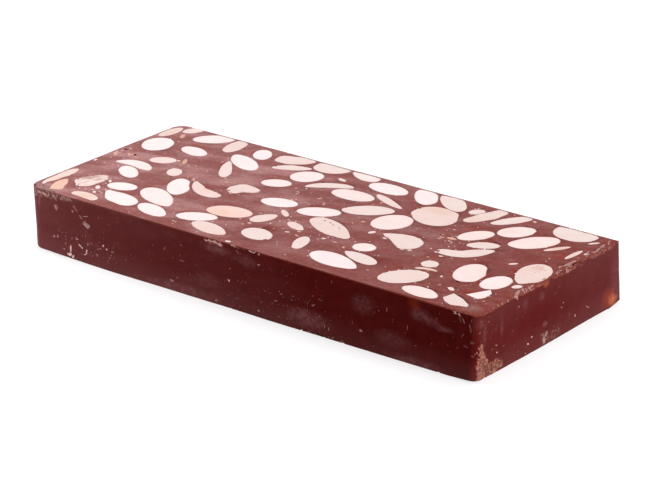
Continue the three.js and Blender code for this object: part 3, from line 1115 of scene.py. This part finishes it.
fine_dots, given, result = new_group(
    "fine_dots", [("Vector", "Vector", None), ("Pitch", "Float", 0.002),
                  ("Share", "Float", 0.2), ("Radius", "Float", 0.3)], [("Mask", "Float")])
cells = add(fine_dots, "TexVoronoi", Vector=given["Vector"],
            Scale=calc(fine_dots, "DIVIDE", 1.0, given["Pitch"]))
chosen = calc(fine_dots, "LESS_THAN",
              add(fine_dots, "SeparateColor", Color=cells.outputs["Color"]).outputs[0],
              given["Share"])
dot = add(fine_dots, "MapRange", Value=cells.outputs["Distance"],
          From_Min=given["Radius"], From_Max=times(fine_dots, given["Radius"], 0.5),
          To_Min=0.0, To_Max=1.0)
fine_dots.links.new(times(fine_dots, dot.outputs[0], chosen), result["Mask"])
print("groups:", patches.name, fine_dots.name)

# %% [markdown]
# A round patch is a soft ball with a ragged edge, at one place of the object.
# The grain adds broad waves to a fine noise, and drives the relief.

# %% Round patch and grain
round_patch, given, result = new_group(
    "round_patch", [("Vector", "Vector", None), ("Centre", "Vector", None),
                    ("Size", "Vector", None), ("Inner", "Float", 0.15),
                    ("Torn", "Float", 0.8)], [("Mask", "Float")])
wobble = add(round_patch, "TexNoise", Vector=given["Vector"], Scale=500.0, Detail=4.0)
offset = add(round_patch, "VectorMath", {"operation": "SUBTRACT"},
             i0=given["Vector"], i1=given["Centre"])
scaled = add(round_patch, "VectorMath", {"operation": "DIVIDE"},
             i0=offset.outputs[0], i1=given["Size"])
length = add(round_patch, "VectorMath", {"operation": "LENGTH"}, i0=scaled.outputs[0])
uneven_edge = calc(round_patch, "MULTIPLY",
                   calc(round_patch, "SUBTRACT", wobble.outputs["Fac"], 0.5),
                   given["Torn"])
rough_length = calc(round_patch, "ADD", length.outputs["Value"], uneven_edge)
faded = add(round_patch, "MapRange", {"interpolation_type": "SMOOTHSTEP"},
            Value=rough_length, From_Min=1.0, From_Max=given["Inner"])
round_patch.links.new(faded.outputs[0], result["Mask"])

grain, given, result = new_group(
    "grain", [("Vector", "Vector", None), ("Size", "Float", 0.0005),
              ("Waves", "Float", 0.3)], [("Height", "Float")])
fine = add(grain, "TexNoise", Vector=given["Vector"],
           Scale=calc(grain, "DIVIDE", 1.0, given["Size"]), Detail=3.0)
broad = add(grain, "TexNoise", Vector=given["Vector"],
            Scale=calc(grain, "DIVIDE", 0.08, given["Size"]), Detail=1.0)
grain.links.new(calc(grain, "ADD", fine.outputs["Fac"],
                     times(grain, broad.outputs["Fac"], given["Waves"])),
                result["Height"])


def blotches(tree, place, size, low, high, detail):
    """Cloudy patches of about this size in mm, between two noise levels."""
    return use(tree, patches, Vector=place, Size=size * MM, Low=low, High=high,
               Detail=detail)


print("groups:", round_patch.name, grain.name)

# %% [markdown]
# ## Chocolate
# Chocolate has three finishes here: sawn, moulded and broken. They are built
# in the same way, so their steps are helpers too: one opens a material, one
# links its colour, roughness and grain to the shader, and one lays soft
# patches of another tone over a colour, each at its own place.

# %% Helpers for finishes
def start(material):
    """Opens a material: its tree, its shader and its Object coordinates."""
    material.use_nodes = True
    tree = material.node_tree
    return tree, tree.nodes["Principled BSDF"], tree.nodes.new(
        "ShaderNodeTexCoord").outputs["Object"]


def finish_with(tree, shader, place, colour, roughness, size, waves, depth, specular):
    """Links a finish's colour, roughness and grain to its shader, in mm."""
    height = use(tree, grain, Vector=place, Size=size * MM, Waves=waves)
    tree.links.new(colour, shader.inputs["Base Color"])
    if isinstance(roughness, bpy.types.NodeSocket):
        tree.links.new(roughness, shader.inputs["Roughness"])
    else:
        shader.inputs["Roughness"].default_value = roughness
    relief = add(tree, "Bump", Strength=1.0, Distance=depth * MM, Height=height)
    tree.links.new(relief.outputs[0], shader.inputs["Normal"])
    shader.inputs["Specular IOR Level"].default_value = specular


def stretched(tree, vector, turn, scale):
    """Coordinates turned about the upright axis and stretched."""
    return add(tree, "Mapping", {"vector_type": "TEXTURE"}, Vector=vector,
               Rotation=(0, 0, math.radians(turn)), Scale=scale).outputs[0]


def range_of(tree, value, low, high, to_low, to_high):
    """Maps a value from one range to another, clamped."""
    return add(tree, "MapRange", Value=value, From_Min=low, From_Max=high,
               To_Min=to_low, To_Max=to_high).outputs[0]


def with_patches(tree, place, colour, rows, cover=1.0, **edge):
    """Lays patches over a colour: centre and size in mm, tone, strength.

    A cover mask breaks the patches up; Inner and Torn set how crisp and how
    ragged their edges are.
    """
    for centre, size, tone, strength in rows:
        spot = use(tree, round_patch, Vector=place, Centre=[c * MM for c in centre],
                   Size=[s * MM for s in size], **edge)
        spot = times(tree, spot, cover)
        colour = tint(tree, colour, spot, strength, tone)
    return colour


def in_tone(tone, *rows):
    """Patches of one tone, from rows of centre, size and strength."""
    return [(centre, size, tone, strength) for centre, size, strength in rows]


def on_saw(tone, *rows):
    """Patches of one tone on the sawn top: x, y, length, width, strength."""
    return in_tone(tone, *(((x, y, TOP / MM), (long, wide, 9), strength)
                           for x, y, long, wide, strength in rows))


sawn_finish, moulded_finish, broken_finish = finishes
print("finishes:", [finish.name for finish in finishes])

# %% [markdown]
# The sawn face is dark red-brown under a pale, cloudy haze of dust and fat
# bloom. It is paler towards the left, partly from bloom and partly as painted
# sheen of the light from the back left. The patches make it paler or redder at
# single places, and fine dots stand for the dust of the saw.

# %% Sawn chocolate
SAWN_HAZE = (0.3, 0.155, 0.15)
SAWN_RED = (0.15, 0.012, 0.006)

tree, shader, place = start(sawn_finish)
streaks = stretched(tree, place, 22, (2.4, 1, 1))
haze = blotches(tree, streaks, 11, 0.42, 0.68, 5)
wisps = blotches(tree, streaks, 3.5, 0.45, 0.8, 3)
# partly bloom, partly painted sheen: the whole sawn face is painted paler towards the left
leftward_bloom_and_sheen = range_of(tree, add(tree, "SeparateXYZ", Vector=place).outputs["X"],
                     -0.1, 0.1, 0.95, 0.03)
veil = times(tree, leftward_bloom_and_sheen, calc(tree, "ADD", haze, 0.35))
veil = calc(tree, "ADD", veil, times(tree, wisps, 0.22), True)
mottle = blotches(tree, place, 2.2, 0.3, 0.7, 3)
speckle = blotches(tree, place, 0.8, 0.35, 0.65, 2)
colour = between(tree, mottle, (0.135, 0.012, 0.007), (0.19, 0.027, 0.017))
colour = between(tree, veil, colour, (0.37, 0.18, 0.175))
colour = with_patches(
    tree, place, colour,
    on_saw(SAWN_HAZE, (8, 0.5, 8, 5, 0.5), (35, 7, 9, 7, 0.5), (46, 7, 7, 5, 0.35),
           (-40, 10, 12, 4, 0.3), (96, -1, 3, 7, 0.35))
    + on_saw((0.3, 0.18, 0.15), (94, -38, 5, 4, 0.4))
    + on_saw(SAWN_RED, (84, 10, 9, 8, 0.5), (64, 22, 5, 6, 0.4), (75, 0, 7, 7, 0.4),
             (48, -22, 9, 6, 0.4), (-57, 8, 12, 6, 0.25), (99.4, 0, 1.6, 50, 0.4),
             (90, -42.8, 12, 1.8, 0.6), (-75, -14, 7, 6, 0.35), (-95, -12, 5, 6, 0.25),
             (-65, 20, 6, 6, 0.3))
    + on_saw((0.33, 0.2, 0.21), (-72, 3, 5, 4, 0.5))
    + on_saw(SAWN_HAZE, (50, -10, 6, 4, 0.4), (-22, 10, 6, 5, 0.4), (8, -30, 6, 5, 0.3),
             (72, 40, 6, 3, 0.25))
    + on_saw((0.2, 0.12, 0.11), (-94, -41, 8, 4, 0.6)))
light_specks = blotches(tree, place, 1.3, 0.52, 0.75, 3)
colour = tint(tree, colour, light_specks, 0.22, (0.36, 0.17, 0.16))
dust = use(tree, fine_dots, Vector=place, Pitch=0.0012, Share=0.16, Radius=0.32)
colour = tint(tree, colour, dust, 0.3, (0.5, 0.26, 0.22))
colour = tint(tree, colour, speckle, 0.28, (0.1, 0.008, 0.004))
rough = range_of(tree, haze, 0, 1, 0.36, 0.5)
finish_with(tree, shader, place, colour, rough, 0.6, 0.8, 0.08, 0.05)
print("sawn finish:", len(tree.nodes), "nodes")

# %% [markdown]
# The moulded walls are darker and smoother, with little reflection. A grey
# haze lies on them at the foot and in scuffs. Towards the left they are greyer,
# partly haze and partly painted sheen of the light from the front left. The
# right wall is painted lighter and redder, as painted light of the soft box on
# the right, and a few soft grey patches on the front wall are painted
# highlights.

# %% Moulded chocolate
GREY_HAZE_AND_HIGHLIGHTS = (0.14, 0.05, 0.052)

tree, shader, place = start(moulded_finish)
drags = stretched(tree, place, 0, (3, 1, 1))
scuffs = blotches(tree, drags, 12, 0.42, 0.75, 4)
cloudy = blotches(tree, place, 4, 0.3, 0.75, 3)
colour = between(tree, cloudy, (0.038, 0.0005, 0.0003), (0.05, 0.0016, 0.0012))
parts = add(tree, "SeparateXYZ", Vector=place)
rightmost = range_of(tree, parts.outputs["X"], 0.097, 0.0985, 0.0, 1.0)
# painted light: the right wall is painted lighter and redder, for the soft box on the right
colour = tint(tree, colour, rightmost, 0.19, (0.12, 0.013, 0.01))
# partly haze, partly painted sheen: the walls are painted greyer towards the left, where the light
# from the front left falls
left_haze_and_sheen = range_of(tree, parts.outputs["X"], -0.1, 0.03, 0.24, 0.0)
foot_haze = range_of(tree, parts.outputs["Z"], 0.0, 0.009, 0.2, 0.0)
top_haze = times(tree, rightmost,
                range_of(tree, parts.outputs["Z"], 0.013, 0.021, 0.0, 0.1))
back_haze = times(tree, rightmost,
                 range_of(tree, parts.outputs["Y"], 0.005, 0.04, 0.0, 0.12))
scuff_share = calc(tree, "MAXIMUM", times(tree, rightmost, 0.08),
                   range_of(tree, parts.outputs["X"], -0.03, 0.04, 0.13, 0.02))
veil = times(tree, scuffs, scuff_share)
for share in (left_haze_and_sheen, foot_haze, top_haze, back_haze):
    veil = calc(tree, "ADD", veil, share, True)
colour = between(tree, veil, colour, (0.13, 0.05, 0.05))
speckle = blotches(tree, place, 1.6, 0.35, 0.68, 4)
dust_and_highlight_cover = calc(tree, "ADD", times(tree, speckle, 0.7), 0.3)
# partly haze, partly painted highlights: the soft grey patches at 30, 53 and from 76.5 to 87 mm
# along the front wall paint its highlights
colour = with_patches(tree, place, colour, in_tone(
    GREY_HAZE_AND_HIGHLIGHTS,
    ((30, -44, 5), (13, 4, 4.5), 0.6), ((53, -44, 16), (7, 4, 5), 0.35),
    ((66, -44, 7), (10, 4, 4), 0.3), ((76.5, -44, 18.4), (6, 4, 3.4), 0.5),
    ((82, -44, 17.2), (5.5, 4, 2.5), 0.5), ((87, -44, 15.8), (5, 4, 1.7), 0.5),
    ((-25, -44.5, 1.4), (28, 4, 3.2), 0.6), ((76, -44.5, 1), (16, 4, 2.6), 0.6),
    ((-15, -44, 8), (9, 4, 4), 0.3), ((-11, -43.6, 20.4), (8, 3, 2.6), 0.6),
    ((3, -43.6, 19), (7, 3, 3), 0.4), ((-95, -43.5, 18.5), (1, 3, 3), 0.6)), dust_and_highlight_cover)
colour = with_patches(tree, place, colour, (
    ((-98.5, -42.5, 6), (4, 4, 7), (0.12, 0.03, 0.05), 0.5),
    ((100.3, -5, 18.5), (3, 3, 2.4), (0.15, 0.06, 0.06), 0.4),
    ((100, 42, 10), (3, 6, 14), (0.14, 0.045, 0.055), 0.4),
    ((100, -38.7, 15.5), (3, 1.4, 6), (0.14, 0.05, 0.055), 0.5),
    ((100, -28.6, 15), (3, 1.3, 7), (0.13, 0.045, 0.05), 0.35),
    ((100, -41, 20), (3, 3, 2.5), (0.13, 0.045, 0.035), 0.5),
    ((100, -14.5, 18.5), (3, 2.4, 3), (0.14, 0.05, 0.065), 0.35)), dust_and_highlight_cover)
print("hazy walls:", len(tree.nodes), "nodes")

# %% [markdown]
# At three places an almond under the skin shines through in orange. Torn
# patches show lighter chocolate where the skin is gone: a flake low on the
# right, and strips under the rim.

# %% Marks on the moulded walls
GLOW = (0.2, 0.02, 0.002)
colour = with_patches(tree, place, colour, (
    ((74, -43.3, 21.4), (3.6, 3, 3.2), GLOW, 0.3),
    ((100.4, 37, 4), (4, 6, 5.5), (0.2, 0.028, 0.012), 0.5),
    ((100.5, 39.4, 3), (3, 3.6, 3), (0.36, 0.1, 0.045), 0.6),
    ((100.4, -2.4, 22.4), (2, 3, 2), (0.26, 0.06, 0.02), 0.7)))
colour = with_patches(tree, place, colour, (
    ((100.5, -3.6, 2.9), (3, 2.8, 2.8), (0.3, 0.2, 0.165), 0.85),
    ((100.5, 2.6, 2.2), (3, 4, 2.2), (0.2, 0.1, 0.09), 0.5),
    ((100.5, -3.6, 8), (3, 1.6, 1.6), (0.16, 0.07, 0.06), 0.5)), speckle, Inner=0.5, Torn=1.6)
crumbly = blotches(tree, place, 1.1, 0.4, 0.62, 3)
tan = between(tree, crumbly, (0.1, 0.024, 0.016), (0.27, 0.11, 0.08))
mouldy = between(tree, crumbly, (0.08, 0.026, 0.023), (0.17, 0.085, 0.078))
reddish = between(tree, crumbly, (0.09, 0.018, 0.013), (0.2, 0.07, 0.055))
colour = with_patches(
    tree, place, colour,
    in_tone(tan, ((100.5, -40.2, 5.4), (3, 3.2, 4.2), 1),
            ((100.5, -40.6, 10.2), (3, 1.3, 3.4), 0.9),
            ((100.5, -35, 2.6), (3, 6, 2.7), 1), ((100.5, -38, 0.9), (3, 7, 1.7), 1))
    + in_tone(mouldy, ((-96, -43.2, 22.6), (4, 3, 2.4), 0.9),
              ((-90, -43.6, 22.5), (6, 3, 1.9), 0.9), ((-84, -43.6, 22.9), (6, 3, 1.3), 0.8))
    + in_tone(reddish, ((-12.3, -43.6, 22.4), (4.6, 3, 0.9), 0.8),
              ((100, -10, 23), (4, 12, 0.9), 0.8), ((100, 12, 23), (4, 10, 1.2), 0.9),
              ((100, 32, 23), (4, 12, 1.3), 0.9), ((100, -32, 23.2), (4, 12, 0.7), 0.7)),
    Inner=0.7, Torn=1.5)
at_rim = calc(tree, "MULTIPLY",
              range_of(tree, parts.outputs["Z"], TOP - 0.5 * MM, TOP - 0.2 * MM, 0, 1),
              range_of(tree, parts.outputs["X"], 0.0, 0.09, 0.25, 0.8))
colour = between(tree, at_rim, colour, (0.15, 0.03, 0.018))
dust = use(tree, fine_dots, Vector=place, Pitch=0.0016, Share=0.12, Radius=0.13)
colour = tint(tree, colour, dust, 0.45, (0.22, 0.1, 0.09))
rough = range_of(tree, scuffs, 0, 1, 0.3, 0.48)
finish_with(tree, shader, place, colour, rough, 1.2, 2.0, 0.05, 0.02)
print("moulded finish:", len(tree.nodes), "nodes")

# %% [markdown]
# Broken chocolate is lighter, because its rough crumbs scatter the light. At
# the top it is redder, and greyer in the crumbled band at the front left.
# Loose crumbs and the pits in an almond have plainer finishes of two tones;
# the pits' dark tone is partly painted shade.

# %% Broken chocolate, crumbs and pits
tree, shader, place = start(broken_finish)
lumps = blotches(tree, place, 1.1, 0.35, 0.65, 4)
deep = blotches(tree, place, 3, 0.45, 0.6, 2)
up = add(tree, "SeparateXYZ", Vector=place)
colour = between(tree, lumps, (0.13, 0.04, 0.028), (0.27, 0.115, 0.085))
colour = tint(tree, colour, deep, 0.6, (0.08, 0.018, 0.011))
worn = between(tree, lumps, (0.11, 0.024, 0.017), (0.22, 0.085, 0.07))
high = range_of(tree, up.outputs["Z"], 0.014, 0.02, 0.0, 1.0)
colour = between(tree, high, colour, worn)
crumbled = times(tree, high,
                range_of(tree, up.outputs["X"], -0.084, -0.08, 1.0, 0.0))
grey = between(tree, lumps, (0.07, 0.03, 0.028), (0.27, 0.15, 0.145))
colour = between(tree, crumbled, colour, grey)
finish_with(tree, shader, place, colour, 0.75, 0.5, 1.0, 0.25, 0.1)

crumb_finish = bpy.data.materials.new("chocolate_crumb")
tree, shader, place = start(crumb_finish)
tone = blotches(tree, place, 0.9, 0.35, 0.65, 2)
up = add(tree, "SeparateXYZ", Vector=place)
colour = between(tree, tone, (0.14, 0.045, 0.032), (0.28, 0.13, 0.1))
high = range_of(tree, up.outputs["Z"], 0.014, 0.02, 0.0, 1.0)
colour = between(tree, high, colour, between(tree, tone, (0.12, 0.035, 0.028),
                                             (0.27, 0.13, 0.12)))
finish_with(tree, shader, place, colour, 0.8, 0.3, 0.5, 0.08, 0.1)

pit_finish = bpy.data.materials.new("pit_chocolate_and_shade")
tree, shader, place = start(pit_finish)
tone = blotches(tree, place, 0.7, 0.3, 0.7, 2)
# painted shade: the pits are darker than the chocolate round them, partly chocolate and partly
# painted shade of the hollows
colour = between(tree, tone, (0.03, 0.008, 0.006), (0.12, 0.05, 0.04))
finish_with(tree, shader, place, colour, 0.8, 0.3, 0.5, 0.05, 0.1)
print("also:", crumb_finish.name, pit_finish.name)

# %% [markdown]
# ## Almonds
# A blanched almond is cream inside, and under this light nearly white with a
# blush of pink. Its outline is a shade darker, and each kernel has its own
# tone, from its tone attribute and from soft clouds. Two kernels were toasted,
# and a few more are warm in one place only, so round patches are put there.

# %% Almond finishes
WARM = [
    ((34, 28.5), (9, 5), 0.6), ((92, 4.5), (4, 4.5), 0.75), ((48, 28.5), (4, 5), 0.45),
    ((64.5, 27), (3.5, 4), 0.3), ((-76.4, -38.4), (8, 5), 0.75), ((87.6, 24), (6, 6), 0.75),
    ((63.5, -19.4), (6, 3), 0.75), ((-97.4, -28), (4, 11), 0.3), ((-97.2, 34), (4, 7), 0.35),
    ((95.2, 22.5), (2.5, 6), 0.3), ((-8.6, -7.3), (4, 3), 0.35), ((34, -16.4), (6, 5), 0.2),
    ((2.9, -15.4), (6, 4), 0.25), ((-46, -7), (7, 4), 0.15)]
SMEARS = [((-87, -23), (8, 8), 1.0), ((-31.5, -0.8), (4, 4), 0.8),
          ((65, 8), (3, 1.6), 0.4), ((2.6, -28), (2, 2), 0.7)]
SMEARED = (0.24, 0.13, 0.125)


def round_spot(tree, place, centre, size):
    """A soft round patch on the sawn top, in mm."""
    return use(tree, round_patch, Vector=place, Centre=at(*centre),
               Size=(size[0] * MM, size[1] * MM, 0.01))


def almond_finish(name, pale, deep, warm, places=(), smears=()):
    """An almond's cut face, with its own pale, deep and warm tones."""
    material = bpy.data.materials.new(name)
    tree, shader, place = start(material)
    tone = blotches(tree, place, 6, 0.35, 0.68, 2)
    own_tone = add(tree, "Attribute", {"attribute_name": "tone"}).outputs["Fac"]
    tone = calc(tree, "ADD", times(tree, tone, 0.35), own_tone, True)
    flecks = blotches(tree, stretched(tree, place, 30, (2, 1, 1)), 2.8, 0.4, 0.8, 3)
    colour = between(tree, tone, pale, deep)
    colour = tint(tree, colour, flecks, 0.16, warm)
    for centre, size, strength in places:
        colour = tint(tree, colour, round_spot(tree, place, centre, size), strength, warm)
    for centre, size, strength in smears:
        spot = round_spot(tree, place, centre, size)
        torn = blotches(tree, stretched(tree, place, 75, (4, 1, 1)), 1.6, 0.42, 0.6, 3)
        colour = tint(tree, colour, times(tree, spot, torn), strength, SMEARED)
    rim = add(tree, "Attribute", {"attribute_name": "rim"}).outputs["Fac"]
    edge = calc(tree, "POWER", rim, 2.0)
    colour = tint(tree, colour, edge, 0.35, [0.8 * c for c in warm])
    finish_with(tree, shader, place, colour, 0.55, 0.6, 0.6, 0.03, 0.15)
    return material


blanched = almond_finish("blanched_almond", (0.73, 0.625, 0.625), (0.705, 0.555, 0.535),
                         (0.66, 0.43, 0.34), WARM, SMEARS)
toasted = almond_finish("toasted_almond", (0.68, 0.48, 0.41), (0.66, 0.42, 0.33),
                        (0.6, 0.34, 0.23))
lightly_toasted = almond_finish("lightly_toasted_almond", (0.7, 0.53, 0.48),
                                (0.68, 0.47, 0.41), (0.64, 0.4, 0.31),
                                [((-27, -20.5), (6, 4), 0.6)])
skin = almond_finish("skin_fragment", (0.62, 0.36, 0.29), (0.55, 0.24, 0.17),
                     (0.5, 0.2, 0.12))
print("almonds:", [material.name for material in (blanched, toasted,
                                             lightly_toasted, skin)])

# %% [markdown]
# ## Dressing and riding
# Every piece takes its finish, stands for its CAD node where it has one, and
# rides on the part's one body.

# %% Dressing the pieces
TOASTED = {"almond_02": toasted, "almond_10": lightly_toasted}


def dress(piece, finish=None):
    """Gives a piece its finish, and lets it ride on the body."""
    if finish:
        piece.data.materials.clear()
        piece.data.materials.append(finish)
    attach(piece, "root")


dress(block)
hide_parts("chocolate_block")
for node, piece in bodies.items():
    dress(piece, TOASTED.get(node, blanched))
    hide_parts(node)
for piece in [*small_bodies, fragment_bodies[0], pale_dots]:
    dress(piece, blanched)
for piece in (fragment_bodies[1], red_dots):
    dress(piece, skin)
white_dust, grey_dust, faint_dust, flake_finish = (
    almond_finish(name, pale, deep, warm) for name, pale, deep, warm in (
        ("white_dust", (0.4, 0.25, 0.235), (0.3, 0.17, 0.16), (0.34, 0.2, 0.17)),
        ("grey_dust", (0.19, 0.09, 0.09), (0.14, 0.06, 0.06), (0.19, 0.08, 0.07)),
        ("faint_dust", (0.095, 0.027, 0.027), (0.075, 0.016, 0.015), (0.1, 0.03, 0.024)),
        ("pale_flake", (0.34, 0.18, 0.165), (0.24, 0.105, 0.095), (0.3, 0.14, 0.12))))
for piece, finish in ((scratches, grey_dust), (flakes, flake_finish),
                      (white_specks, white_dust), (wall_specks, grey_dust),
                      (faint_specks, faint_dust), (crumbs, crumb_finish),
                      (creases, crumb_finish), (pit_dots, pit_finish)):
    dress(piece, finish)

# %% [markdown]
# ## Light and floor
# The block stands on a plain pale floor in soft light. A wide soft box hangs
# over it, a second one behind gives the sawn face its sheen, and two weak
# ones light the right wall and the left part of the front wall.

# %% Light and floor
bpy.ops.mesh.primitive_plane_add(size=6, location=(0, 0, -0.02 * MM))
floor = bpy.context.object
floor.name = "floor"
settle()
pale = bpy.data.materials.new("pale_floor")
tree, shader, place = start(pale)
shader.inputs["Base Color"].default_value = (0.42, 0.4, 0.41, 1)
shader.inputs["Emission Color"].default_value = (1, 1, 1, 1)
shader.inputs["Emission Strength"].default_value = 0.6
shader.inputs["Roughness"].default_value = 1
shader.inputs["Specular IOR Level"].default_value = 0
floor.data.materials.append(pale)


def soft_box(name, place, aim, size, strength, tint=(1, 1, 1)):
    """An area light at a place, aimed at a point; its strength is radiance."""
    bpy.ops.object.light_add(type="AREA", location=place)
    light = bpy.context.object
    light.name = name
    light.rotation_euler = (Vector(aim) - Vector(place)).to_track_quat(
        "-Z", "Y").to_euler()
    light.data.shape = "RECTANGLE"
    light.data.size, light.data.size_y = size
    light.data.energy = strength * math.pi * size[0] * size[1]
    light.data.color = tint
    light.visible_camera = False
    return light


soft_box("over", (-0.1, 0.4, 1.0), (0, 0, 0), (1.2, 1.0), 3.4)
soft_box("behind", (-0.9, 1.1, 0.65), (0, 0, 0), (1.6, 1.0), 0.7)
soft_box("right", (1.0, -0.1, 0.25), (0.1, 0, 0.01), (0.7, 0.5), 12)
soft_box("left_front", (-0.25, -0.2, 0.08), (-0.09, -0.04, 0.01), (0.12, 0.1), 24)

world = bpy.data.worlds.new("studio")
bpy.context.scene.world = world
world.use_nodes = True
tree = world.node_tree
seen = add(tree, "Background", Color=(1, 1, 1, 1), Strength=1.0)
lit = add(tree, "Background", Color=(0.97, 0.98, 1, 1), Strength=0.2)
chosen = add(tree, "MixShader", i0=add(tree, "LightPath").outputs["Is Camera Ray"],
             i1=lit.outputs[0], i2=seen.outputs[0])
tree.links.new(chosen.outputs[0], tree.nodes["World Output"].inputs["Surface"])
bpy.context.scene.view_settings.view_transform = "Standard"
